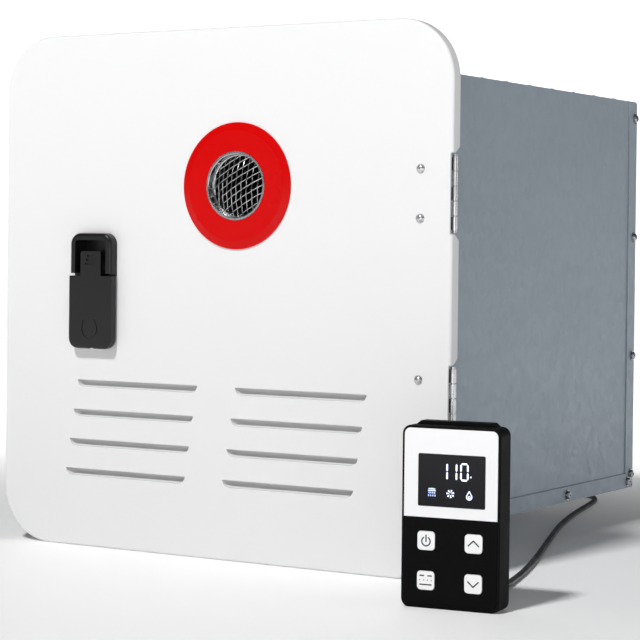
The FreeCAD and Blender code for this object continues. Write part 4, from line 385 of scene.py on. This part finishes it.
finishes = {
    "door_white": {
        "skin": "moulded", "bump": 0.25, "relief": 0.00002,
        "looks": {"Tone": rgb(0.75, 0.75, 0.753), "Drift": 0.02, "Grain Scale": 1400, "Drift Scale": 6,
                  "Rough Low": 0.32, "Rough High": 0.38},
        "shader": {"Specular IOR Level": 0.28},
    },
    "ring_red": {
        "skin": "moulded", "bump": 0.2, "relief": 0.00002,
        "looks": {"Tone": rgb(0.57, 0.0015, 0.0015), "Drift": 0.05, "Grain Scale": 1200, "Drift Scale": 14,
                  "Rough Low": 0.22, "Rough High": 0.30},
        "shader": {"Specular IOR Level": 0.12},
    },
    "latch_black": {
        "skin": "moulded", "bump": 0.35, "relief": 0.00003,
        "looks": {"Tone": rgb(0.006, 0.006, 0.0065), "Drift": 0.2, "Grain Scale": 1600, "Drift Scale": 30,
                  "Rough Low": 0.28, "Rough High": 0.36},
        "shader": {"Specular IOR Level": 0.36},
    },
    "seal_rubber": {
        "skin": "moulded", "bump": 0.5, "relief": 0.00008,
        "looks": {"Tone": rgb(0.018, 0.018, 0.019), "Drift": 0.3, "Grain Scale": 700, "Drift Scale": 25,
                  "Rough Low": 0.65, "Rough High": 0.8},
    },
    "sensor_plastic": {
        "skin": "moulded", "bump": 0.4, "relief": 0.00004,
        "looks": {"Tone": rgb(0.02, 0.02, 0.022), "Drift": 0.2, "Grain Scale": 900, "Drift Scale": 30,
                  "Rough Low": 0.42, "Rough High": 0.52},
    },
    "box_plastic": {
        "skin": "moulded", "bump": 0.4, "relief": 0.00004,
        "looks": {"Tone": rgb(0.10, 0.105, 0.11), "Drift": 0.15, "Grain Scale": 800, "Drift Scale": 15,
                  "Rough Low": 0.45, "Rough High": 0.55},
    },
    "motor_black": {
        "skin": "moulded", "bump": 0.3, "relief": 0.00004,
        "looks": {"Tone": rgb(0.02, 0.02, 0.022), "Drift": 0.25, "Grain Scale": 600, "Drift Scale": 20,
                  "Rough Low": 0.38, "Rough High": 0.5},
    },
    "ceramic": {
        "skin": "moulded", "bump": 0.1, "relief": 0.00002,
        "looks": {"Tone": rgb(0.78, 0.76, 0.70), "Drift": 0.08, "Grain Scale": 500, "Drift Scale": 60,
                  "Rough Low": 0.15, "Rough High": 0.25},
    },
    "cable_sheath": {
        "skin": "moulded", "bump": 0.3, "relief": 0.00003,
        "looks": {"Tone": rgb(0.012, 0.012, 0.013), "Drift": 0.25, "Grain Scale": 1200, "Drift Scale": 40,
                  "Rough Low": 0.30, "Rough High": 0.40},
        "shader": {"Specular IOR Level": 0.6},
    },
    "control_black": {
        "skin": "moulded", "bump": 0.5, "relief": 0.00004,
        "looks": {"Tone": rgb(0.005, 0.005, 0.0055), "Drift": 0.2, "Grain Scale": 1800, "Drift Scale": 40,
                  "Rough Low": 0.52, "Rough High": 0.62},
        "shader": {"Specular IOR Level": 0.06},
    },
    "key_white": {
        "skin": "moulded", "bump": 0.1, "relief": 0.00002,
        "looks": {"Tone": rgb(0.88, 0.88, 0.885), "Drift": 0.02, "Grain Scale": 1500, "Drift Scale": 60,
                  "Rough Low": 0.25, "Rough High": 0.32},
    },
    "galvanised_sheet": {
        "skin": "spangle", "bump": 0.1, "relief": 0.00004,
        "looks": {"Tone": rgb(0.300, 0.350, 0.400), "Pale": rgb(0.345, 0.397, 0.450), "Flake Scale": 170,
                  "Flake Share": 0.3, "Rough Low": 0.42, "Rough High": 0.55},
        "shader": {"Metallic": 0.35, "Specular IOR Level": 0.5},
    },
    "frame_sheet": {
        "skin": "spangle", "bump": 0.1, "relief": 0.00004,
        "looks": {"Tone": rgb(0.36, 0.38, 0.40), "Pale": rgb(0.44, 0.46, 0.48), "Flake Scale": 200,
                  "Flake Share": 0.3, "Rough Low": 0.4, "Rough High": 0.55},
        "shader": {"Metallic": 0.4},
    },
    "aluminised_steel": {
        "skin": "spangle", "bump": 0.15, "relief": 0.00005,
        "looks": {"Tone": rgb(0.22, 0.22, 0.225), "Pale": rgb(0.30, 0.30, 0.305), "Flake Scale": 260,
                  "Flake Share": 0.4, "Rough Low": 0.35, "Rough High": 0.5},
        "shader": {"Metallic": 0.7},
    },
    "cast_aluminium": {
        "skin": "moulded", "bump": 0.5, "relief": 0.00012,
        "looks": {"Tone": rgb(0.46, 0.47, 0.48), "Drift": 0.25, "Grain Scale": 700, "Drift Scale": 30,
                  "Rough Low": 0.4, "Rough High": 0.55},
        "shader": {"Metallic": 0.85},
    },
    "zinc_hardware": {
        "skin": "drawn", "bump": 0.1, "relief": 0.00003,
        "looks": {"Tone": rgb(0.52, 0.53, 0.55), "Dull": rgb(0.27, 0.28, 0.30), "Stretch": (300, 900, 900),
                  "Blotch Scale": 120, "Rough Low": 0.16, "Rough High": 0.3},
        "shader": {"Metallic": 1.0},
    },
    "hinge_steel": {
        "skin": "drawn", "bump": 0.12, "relief": 0.00003,
        "looks": {"Tone": rgb(0.62, 0.62, 0.63), "Dull": rgb(0.48, 0.48, 0.49), "Stretch": (300, 300, 12),
                  "Blotch Scale": 60, "Rough Low": 0.20, "Rough High": 0.30},
        "shader": {"Metallic": 0.75},
    },
    "latch_steel": {
        "skin": "drawn", "bump": 0.15, "relief": 0.00003,
        "looks": {"Tone": rgb(0.70, 0.71, 0.73), "Dull": rgb(0.48, 0.49, 0.50), "Stretch": (500, 60, 500),
                  "Blotch Scale": 70, "Rough Low": 0.24, "Rough High": 0.4},
        "shader": {"Metallic": 1.0},
    },
    "stainless": {
        "skin": "drawn", "bump": 0.12, "relief": 0.00003,
        "looks": {"Tone": rgb(0.70, 0.70, 0.71), "Dull": rgb(0.46, 0.46, 0.47), "Stretch": (500, 40, 500),
                  "Blotch Scale": 50, "Rough Low": 0.14, "Rough High": 0.3},
        "shader": {"Metallic": 1.0},
    },
    "copper": {
        "skin": "drawn", "bump": 0.1, "relief": 0.00003,
        "looks": {"Tone": rgb(0.76, 0.36, 0.22), "Dull": rgb(0.42, 0.17, 0.10), "Stretch": (40, 300, 300),
                  "Blotch Scale": 35, "Rough Low": 0.2, "Rough High": 0.42},
        "shader": {"Metallic": 1.0},
    },
    "brass_fittings": {
        "skin": "drawn", "bump": 0.15, "relief": 0.00004,
        "looks": {"Tone": rgb(0.78, 0.60, 0.28), "Dull": rgb(0.50, 0.36, 0.15), "Stretch": (60, 900, 60),
                  "Blotch Scale": 60, "Rough Low": 0.18, "Rough High": 0.34},
        "shader": {"Metallic": 1.0},
    },
    "circuit_board": {
        "skin": "moulded", "bump": 0.3, "relief": 0.00005,
        "looks": {"Tone": rgb(0.02, 0.13, 0.055), "Drift": 0.35, "Grain Scale": 350, "Drift Scale": 120,
                  "Rough Low": 0.28, "Rough High": 0.4},
    },
}


# a polished face whose roughness follows its finger smears
def dressGloss(tree, shader, colour, smear, values):
    low, high = values["rough"]
    rough = addNode(tree, "ShaderNodeMapRange", [
        ("Value", smear, "Fac"), ("To Min", None, low), ("To Max", None, high),
    ])
    tree.links.new(colour.outputs[2], shader.inputs["Base Color"])
    tree.links.new(rough.outputs["Result"], shader.inputs["Roughness"])
    shader.inputs["Specular IOR Level"].default_value = values["gloss"]


# The panel is one glossy sheet, printed white above a straight line and black below it.
panelPrint = {
    "white": rgb(0.84, 0.84, 0.85), "black": rgb(0.003, 0.003, 0.0035), "line": 0.0571,
    "rough": (0.06, 0.10), "smear": 45, "gloss": 0.05,
}


def makePanelPrint(name, values):
    made, tree, shader = startMaterial(name)
    place = addNode(tree, "ShaderNodeTexCoord")
    axes = addNode(tree, "ShaderNodeSeparateXYZ", [("Vector", place, "Object")])
    level = remote["foot"] + values["line"]
    above = addNode(tree, "ShaderNodeMath", [(0, axes, "Z"), (1, None, level)], operation="GREATER_THAN")
    colour = mixColours(tree, (above, 0), values["black"], values["white"])
    smear = addNoise(tree, (place, "Object"), values["smear"])
    dressGloss(tree, shader, colour, smear, values)
    return made


displayGlass = {
    "dark": rgb(0.004, 0.004, 0.006), "pale": rgb(0.010, 0.010, 0.012),
    "rough": (0.05, 0.09), "smear": 60, "gloss": 0.15,
}


def makeDisplayGlass(name, values):
    made, tree, shader = startMaterial(name)
    place = addNode(tree, "ShaderNodeTexCoord")
    smear = addNoise(tree, (place, "Object"), values["smear"])
    colour = mixColours(tree, (smear, "Fac"), values["dark"], values["pale"])
    dressGloss(tree, shader, colour, smear, values)
    return made


materials = {name: makeFinish(name, values) for name, values in finishes.items()}
materials["control_face"] = makePanelPrint("control_face", panelPrint)
materials["display_dark"] = makeDisplayGlass("display_dark", displayGlass)


def paint(piece, material):
    piece.data.materials.clear()
    piece.data.materials.append(material)


def smoothByAngle(piece, degrees=30):
    piece.data.shade_smooth()
    piece.data.set_sharp_from_angle(angle=math.radians(degrees))


for part in frame["record"]["subparts"]:
    paint(nodes[part["node"]], materials[part["material_slot"]])
paint(cablePiece, materials["cable_sheath"])
print("finishes made:", len(materials))


# meshes built in code
def meshPiece(name, vertices, faces, material, body, smooth=True):
    data = bpy.data.meshes.new(name)
    data.from_pydata([tuple(v) for v in vertices], [], faces)
    data.validate()
    data.update()
    made = bpy.data.objects.new(name, data)
    scene.collection.objects.link(made)
    paint(made, material)
    if smooth:
        smoothByAngle(made)
    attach(made, body)
    return made


# rings round a line of points, with closed ends
def addTube(vertices, faces, points, radius, sides):
    start = len(vertices)
    up = Vector((0, -1, 0))
    count = len(points)
    for k, point in enumerate(points):
        along = (points[min(k + 1, count - 1)] - points[max(k - 1, 0)]).normalized()
        side = along.cross(up).normalized()
        over = side.cross(along)
        for j in range(sides):
            angle = 2 * math.pi * j / sides
            vertices.append(point + radius * (math.cos(angle) * side + math.sin(angle) * over))
    for k in range(count - 1):
        for j in range(sides):
            a, b = start + k * sides + j, start + k * sides + (j + 1) % sides
            faces.append((a, b, b + sides, a + sides))
    faces.append(tuple(start + j for j in reversed(range(sides))))
    faces.append(tuple(start + (count - 1) * sides + j for j in range(sides)))


# woven screen in the exhaust mouth
screen = {
    "centre": (0.0186, 0.0772),
    "radius": 0.0222,
    "back": -0.0080,
    "rise": 0.0052,
    "wire": 0.00029,  # radius
    "wave": 0.9,  # how far a wire bends at a crossing, in its own radii
    "families": [(math.radians(88), 0.0041), (math.radians(30), 0.0046)],  # direction and pitch
    "shortest": 0.004,
    "step": 0.0008,
    "wireSides": 7,
    "rim": 0.0006,
    "rimSteps": 72,
    "rimSides": 8,
}


def buildScreen(values):
    vertices, faces = [], []
    cx, cz = values["centre"]
    big = values["radius"]

    def onDome(x, z, offset):
        share = min(1, (x * x + z * z) / big**2)
        return Vector((cx + x, values["back"] - values["rise"] * (1 - share) - offset, cz + z))

    (firstTurn, firstPitch), (secondTurn, secondPitch) = values["families"]
    slant = math.sin(firstTurn - secondTurn)
    lean = 1 / math.tan(firstTurn - secondTurn)
    for family, (turn, pitch) in enumerate(values["families"]):
        crossing = (secondPitch, firstPitch)[family] / abs(slant)
        along = Vector((math.cos(turn), math.sin(turn)))
        side = Vector((-along.y, along.x))
        count = int(big / pitch)
        for k in range(-count, count + 1):
            apart = k * pitch
            reach = math.sqrt(max(0, big**2 - apart**2))
            if reach < values["shortest"]:
                continue
            steps = int(2 * reach / values["step"])
            points = []
            for j in range(steps + 1):
                run = -reach + 2 * reach * j / steps
                x, z = along * run + side * apart
                phase = (run + (lean if family else -lean) * apart) / crossing
                wave = values["wave"] * math.cos(math.pi * (phase + k + family))
                points.append(onDome(x, z, values["wire"] * wave))
            addTube(vertices, faces, points, values["wire"], values["wireSides"])
    angles = [2 * math.pi * j / values["rimSteps"] for j in range(values["rimSteps"] + 1)]
    rim = [onDome(big * math.cos(a), big * math.sin(a), 0) for a in angles]
    addTube(vertices, faces, rim, values["rim"], values["rimSides"])
    return vertices, faces


vertices, faces = buildScreen(screen)
screenPiece = meshPiece("exhaust_screen", vertices, faces, materials["stainless"], "door")
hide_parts("exhaust_mesh")
print("screen woven:", len(faces), "faces")


# printed and lit marks, thin plates lying on the front of the remote control
mm = 0.001


# The outline is in millimetres across and up from the remote's lower left corner, counter-clockwise.
def addPlate(vertices, faces, outline, level, thick):
    start = len(vertices)
    count = len(outline)
    for depth in (level, level - thick):
        vertices.extend(onRemote(x * mm, depth * mm, z * mm) for x, z in outline)
    faces.append(tuple(start + j for j in reversed(range(count))))
    faces.append(tuple(start + count + j for j in range(count)))
    for j in range(count):
        a, b = start + j, start + (j + 1) % count
        faces.append((a, b, b + count, a + count))


# outline of a straight line of even width, a little longer at both ends than its two points
def dash(begin, end, width, longer=0.2):
    (x0, z0), (x1, z1) = begin, end
    length = math.hypot(x1 - x0, z1 - z0)
    ux, uz = (x1 - x0) / length, (z1 - z0) / length
    px, pz = -uz * width / 2, ux * width / 2
    ex, ez = ux * width * longer, uz * width * longer
    return [(x0 - ex - px, z0 - ez - pz), (x1 + ex - px, z1 + ez - pz),
            (x1 + ex + px, z1 + ez + pz), (x0 - ex + px, z0 - ez + pz)]


def arc(cx, cz, radius, start, end, steps):
    return [
        (cx + radius * math.cos(math.radians(start + (end - start) * k / steps)),
         cz + radius * math.sin(math.radians(start + (end - start) * k / steps)))
        for k in range(steps + 1)
    ]


def arcBand(cx, cz, radius, width, start, end, steps):
    inner = arc(cx, cz, radius - width / 2, start, end, steps)
    outer = arc(cx, cz, radius + width / 2, start, end, steps)
    return [[outer[k], outer[k + 1], inner[k + 1], inner[k]] for k in range(steps)]


def turnsLeft(outline):
    following = outline[1:] + outline[:1]
    return sum(x0 * z1 - x1 * z0 for (x0, z0), (x1, z1) in zip(outline, following)) > 0


def plates(name, outlines, level, thick, material, body):
    vertices, faces = [], []
    for outline in outlines:
        addPlate(vertices, faces, outline if turnsLeft(outline) else outline[::-1], level, thick)
    return meshPiece(name, vertices, faces, material, body, smooth=False)


# symbols on the keys, in the same millimetres
keys = {
    "left": 16.9, "right": 48.3, "upper": 42.4, "lower": 17.5,
    "proud": 0.35, "sunk": 0.01, "thick": 0.06, "line": 0.85,
    "power": {"radius": 2.8, "drop": 0.4, "open": (118, 422), "steps": 26, "stem": (-0.6, 3.6)},
    "arrow": {"reach": 3.5, "foot": -1.4, "tip": 1.9},
    "mode": {
        "line": 0.8, "dots": (-3.9, -1.3, 1.3, 3.9), "dotLevel": 0.2, "dot": 0.34, "dotSides": 12,
        "dashes": ((-3.9, -1.2, 3.0), (1.4, 4.0, 3.0), (-3.9, 3.9, -2.6)),
    },
    "ink": rgb(0.012, 0.012, 0.013), "speck": 900, "brighter": 1.8, "rough": 0.4,
}


def makeInk(name, values):
    made, tree, shader = startMaterial(name)
    place = addNode(tree, "ShaderNodeTexCoord")
    speck = addNoise(tree, (place, "Object"), values["speck"])
    pale = rgb(*(values["brighter"] * c for c in values["ink"][:3]))
    mixed = mixColours(tree, (speck, "Fac"), values["ink"], pale)
    tree.links.new(mixed.outputs[2], shader.inputs["Base Color"])
    shader.inputs["Roughness"].default_value = values["rough"]
    return made


keyInk = makeInk("keyInk", keys)


def drawPower(x, z, line, power):
    low, high = power["stem"]
    ring = arcBand(x, z - power["drop"], power["radius"], line, *power["open"], power["steps"])
    return ring + [dash((x, z + low), (x, z + high), line)]


# way is 1 for up and -1 for down
def drawArrow(x, z, line, arrow, way):
    left, right = ((x + side * arrow["reach"], z + way * arrow["foot"]) for side in (-1, 1))
    tip = (x, z + way * arrow["tip"])
    return [dash(left, tip, line), dash(tip, right, line)]


def drawMode(x, z, mode):
    sides = mode["dotSides"]
    last = 360 - 360 / sides
    marks = [arc(x + dx, z + mode["dotLevel"], mode["dot"], 0, last, sides - 1) for dx in mode["dots"]]
    for left, right, up in mode["dashes"]:
        marks.append(dash((x + left, z + up), (x + right, z + up), mode["line"]))
    return marks


def markKeys(values):
    left, right, upper, lower = (values[side] for side in ("left", "right", "upper", "lower"))
    line = values["line"]
    marks = {
        "power": drawPower(left, upper, line, values["power"]),
        "up": drawArrow(right, upper, line, values["arrow"], 1),
        "down": drawArrow(right, lower, line, values["arrow"], -1),
        "mode": drawMode(left, lower, values["mode"]),
    }
    level = values["sunk"] - values["proud"]
    for key, outlines in marks.items():
        plates("symbol_" + key, outlines, level, values["thick"], keyInk, key + "_key")


markKeys(keys)
print("key symbols placed")


# figures and icons lit in the display, in the same millimetres
display = {
    "level": -0.02, "thick": 0.05,
    "figure": rgb(0.62, 0.68, 1.0), "figureLight": 1.0,
    "icon": rgb(0.30, 0.42, 1.0), "iconLight": 0.9,
    "cells": 700, "rough": 0.3,
    "stroke": 1.1,
    "ones": {"across": (30.3, 36.5), "spans": ((81.4, 86.07), (86.56, 91.24))},
    "nought": {
        "across": (39.48, 43.92), "spans": ((81.69, 86.17), (86.66, 91.24)),
        "levels": (81.4, 91.53), "reach": (39.67, 43.73),
    },
    "unit": {"at": (45.95, 83.58), "radius": 0.43, "line": 0.27, "steps": 12},
    "shower": {
        "at": (20.32, 72.95),
        "head": ((2.1, 2.4, 0.8), (1.0, 2.7, 0.7)),  # level, reach and thickness
        "pipe": (1.9, 2.9, 1.2),  # low, high and thickness
        "drops": (-1.9, -0.65, 0.65, 1.9), "drop": 0.6,
        "rows": ((-1.0, 0.3, 1.0), (-2.7, -1.4, 1.12)),  # low, high and spread
    },
    "fan": {
        "at": (32.62, 72.55), "blades": 7, "turn": 8, "sweep": 26,
        "near": 0.5, "far": 2.75, "taper": 0.9,
    },
    "flame": {
        "at": (45.03, 72.05), "line": 0.6, "drop": 0.8, "radius": 1.75, "open": (150, 390), "steps": 16,
        "shoulder": (1.55, 0.05), "tip": 2.7,
        "core": {"drop": 1.0, "radius": 0.7, "line": 0.45, "steps": 12},
    },
}


def makeLit(name, colour, strength, values):
    made, tree, shader = startMaterial(name)
    place = addNode(tree, "ShaderNodeTexCoord")
    cells = addNoise(tree, (place, "Object"), values["cells"])
    pale = rgb(*((1 + c) / 2 for c in colour[:3]))
    mixed = mixColours(tree, (cells, "Fac"), colour, pale)
    tree.links.new(mixed.outputs[2], shader.inputs["Emission Color"])
    tree.links.new(mixed.outputs[2], shader.inputs["Base Color"])
    shader.inputs["Emission Strength"].default_value = strength
    shader.inputs["Roughness"].default_value = values["rough"]
    return made


# an upright segment with pointed ends
def bar(x, low, high, thick):
    half = thick / 2
    return [(x, low), (x + half, low + half), (x + half, high - half),
            (x, high), (x - half, high - half), (x - half, low + half)]


# a level one
def beam(z, left, right, thick):
    half = thick / 2
    return [(left, z), (left + half, z - half), (right - half, z - half),
            (right, z), (right - half, z + half), (left + half, z + half)]


def drawFigures(values):
    marks = []
    for figure in (values["ones"], values["nought"]):
        for x in figure["across"]:
            marks += [bar(x, low, high, values["stroke"]) for low, high in figure["spans"]]
    left, right = values["nought"]["reach"]
    marks += [beam(z, left, right, values["stroke"]) for z in values["nought"]["levels"]]
    unit = values["unit"]
    return marks + arcBand(*unit["at"], unit["radius"], unit["line"], 0, 360, unit["steps"])


def drawShower(values):
    x, z = values["at"]
    low, high, thick = values["pipe"]
    marks = [beam(z + up, x - reach, x + reach, deep) for up, reach, deep in values["head"]]
    marks.append(bar(x, z + low, z + high, thick))
    for across in values["drops"]:
        for low, high, spread in values["rows"]:
            marks.append(bar(x + spread * across, z + low, z + high, values["drop"]))
    return marks


def drawFan(values):
    x, z = values["at"]
    marks = []
    for k in range(values["blades"]):
        a = math.radians(360 / values["blades"] * k + values["turn"])
        b = a + math.radians(values["sweep"])
        corners = ((values["near"], a), (values["far"], a), (values["taper"] * values["far"], b))
        marks.append([(x + r * math.cos(angle), z + r * math.sin(angle)) for r, angle in corners])
    return marks


def drawFlame(values):
    x, z = values["at"]
    line, core = values["line"], values["core"]
    across, up = values["shoulder"]
    tip = (x, z + values["tip"])
    marks = arcBand(x, z - values["drop"], values["radius"], line, *values["open"], values["steps"])
    marks += [dash((x - across, z + up), tip, line), dash(tip, (x + across, z + up), line)]
    return marks + arcBand(x, z - core["drop"], core["radius"], core["line"], 0, 360, core["steps"])


def drawDisplay(values):
    lit = makeLit("displayFigures", values["figure"], values["figureLight"], values)
    blue = makeLit("displayBlue", values["icon"], values["iconLight"], values)
    marks = (
        ("display_figures", drawFigures(values), lit),
        ("display_shower", drawShower(values["shower"]), blue),
        ("display_fan", drawFan(values["fan"]), lit),
        ("display_flame", drawFlame(values["flame"]), lit),
    )
    for name, outlines, material in marks:
        plates(name, outlines, values["level"], values["thick"], material, "cabinet")


drawDisplay(display)
print("display lit")


# ties round the coil, closed loops of flat strap
tie = {
    "width": 0.005, "thick": 0.0006, "angles": (0, 240),
    "round": 0.0022, "cornerSteps": 6, "slack": 0.0001,
}


# the strap's outline, as distance from the coil's middle and height
def tieOutline(values, grow):
    slack, turn, steps = values["slack"], values["round"], values["cornerSteps"]
    half = cable["columns"] * cable["pitch"] / 2 + 2 * slack - turn
    foot = cable["lying"] - cable["diameter"] / 2 + cable["lift"] - slack
    low, high = foot + turn, foot + cable["layers"] * cable["pitch"] + 2 * slack - turn
    outline = []
    for across, up, begin in ((half, high, 0), (-half, high, 90), (-half, low, 180), (half, low, 270)):
        for k in range(steps + 1):
            angle = math.radians(begin + 90 / steps * k)
            outline.append((cable["mean"] + across + (turn + grow) * math.cos(angle),
                            up + (turn + grow) * math.sin(angle)))
    return outline


def buildTies(values):
    vertices, faces = [], []
    centre = Vector((*cable["centre"], 0))
    outlines = [tieOutline(values, grow) for grow in (0, values["thick"])]
    count = len(outlines[0])
    for degrees in values["angles"]:
        angle = math.radians(degrees)
        out = Vector((math.cos(angle), math.sin(angle), 0))
        along = Vector((-out.y, out.x, 0)) * values["width"] / 2
        start = len(vertices)
        for outline in outlines:
            for edge in (-1, 1):
                vertices.extend(centre + out * r + along * edge + Vector((0, 0, z)) for r, z in outline)
        a, b, c, d = (start + j * count for j in range(4))
        for k in range(count):
            m = (k + 1) % count
            faces += [(a + k, a + m, b + m, b + k), (c + k, d + k, d + m, c + m),
                      (a + k, c + k, c + m, a + m), (b + k, b + m, d + m, d + k)]
    return vertices, faces


vertices, faces = buildTies(tie)
meshPiece("coil_ties", vertices, faces, materials["sensor_plastic"], "cabinet")
print("ties placed")


# floor: pale, lit by the lamps near the heater with a faint painted glow there that also lightens its
# shadows, and fading to an even glow away from it
floor = {
    "rings": (0.3, 0.8, 1.6, 3.0, 6.0, 14.0), "sides": 96,
    "colour": rgb(0.97, 0.97, 0.972), "darker": 0.985, "driftScale": 8, "rough": 0.6,
    "glow": 1.0, "glowFrom": 0.35, "glowTo": 1.3, "glowLeast": 0.06, "glowMost": 1.0,
}


def makeFloorPaint(name, values):
    made, tree, shader = startMaterial(name)
    place = addNode(tree, "ShaderNodeTexCoord")
    far = addNode(tree, "ShaderNodeVectorMath", [(0, place, "Object")], operation="LENGTH")
    near, away = values["glowFrom"], values["glowTo"]
    glow = addNode(tree, "ShaderNodeMapRange", [
        ("Value", far, "Value"), ("From Min", None, near), ("From Max", None, away),
    ], interpolation_type="SMOOTHSTEP")
    drift = addNoise(tree, (place, "Object"), values["driftScale"])
    least, most = (rgb(values[end], values[end], values[end]) for end in ("glowLeast", "glowMost"))
    # painted glow: faint near the heater, where it lightens the floor and its shadows, and full far away
    light = mixColours(tree, (glow, "Result"), least, most)
    darker = rgb(*(values["darker"] * c for c in values["colour"][:3]))
    tone = mixColours(tree, (drift, "Fac"), values["colour"], darker)
    tree.links.new(tone.outputs[2], shader.inputs["Base Color"])
    tree.links.new(light.outputs[2], shader.inputs["Emission Color"])
    shader.inputs["Emission Strength"].default_value = values["glow"]
    shader.inputs["Roughness"].default_value = values["rough"]
    return made


def buildFloor(values):
    sides = values["sides"]
    vertices, faces = [], []
    for radius in values["rings"]:
        for k in range(sides):
            angle = 2 * math.pi * k / sides
            vertices.append((radius * math.cos(angle), radius * math.sin(angle), remote["foot"]))
    for ring in range(len(values["rings"]) - 1):
        for k in range(sides):
            a, b = ring * sides + k, ring * sides + (k + 1) % sides
            faces.append((a, a + sides, b + sides, b))
    faces.append(tuple(range(sides)))
    data = bpy.data.meshes.new("floor")
    data.from_pydata(vertices, [], faces)
    made = bpy.data.objects.new("floor", data)
    scene.collection.objects.link(made)
    paint(made, makeFloorPaint("paleFloor", values))


buildFloor(floor)

# lamps: a soft key from above the door, and two weak ones for its front and the cabinet's side
lamps = {
    "key": {
        "place": (-0.04, -2.85, 3.51), "at": (0.1, 0, -0.1), "size": (0.48, 0.44),
        "power": 163, "colour": (1, 1, 1),
    },
    "fill": {
        "place": (1.3, -2.7, 0.25), "at": (0.1, 0, 0), "size": (1.4, 0.8),
        "power": 9, "colour": (1, 1, 1),
    },
    "side": {
        "place": (2.4, 0.4, 0.45), "at": (0.16, 0.2, 0), "size": (0.8, 1.0),
        "power": 3.8, "colour": (0.93, 0.97, 1),
    },
}


def hangLamp(name, values):
    data = bpy.data.lights.new(name, "AREA")
    data.energy = values["power"]
    data.shape = "RECTANGLE"
    data.size, data.size_y = values["size"]
    data.color = values["colour"]
    made = bpy.data.objects.new(name, data)
    made.location = values["place"]
    aim = Vector(values["at"]) - Vector(values["place"])
    made.rotation_euler = aim.to_track_quat("-Z", "Y").to_euler()
    scene.collection.objects.link(made)


for name, lamp in lamps.items():
    hangLamp(name, lamp)

# room: strength is what lights the heater, seen is how bright the backdrop looks
room = {"colour": rgb(0.97, 0.985, 1), "strength": 0.08, "seen": 1.3}


def buildRoom(values):
    world = bpy.data.worlds.new("studio")
    scene.world = world
    world.use_nodes = True
    tree = world.node_tree
    path = addNode(tree, "ShaderNodeLightPath")
    level = addNode(tree, "ShaderNodeMapRange", [
        ("Value", path, "Is Camera Ray"),
        ("To Min", None, values["strength"]), ("To Max", None, values["seen"]),
    ])
    tree.nodes["Background"].inputs["Color"].default_value = values["colour"]
    tree.links.new(level.outputs["Result"], tree.nodes["Background"].inputs["Strength"])


buildRoom(room)
scene.view_settings.view_transform = "Standard"
print("stage lit")
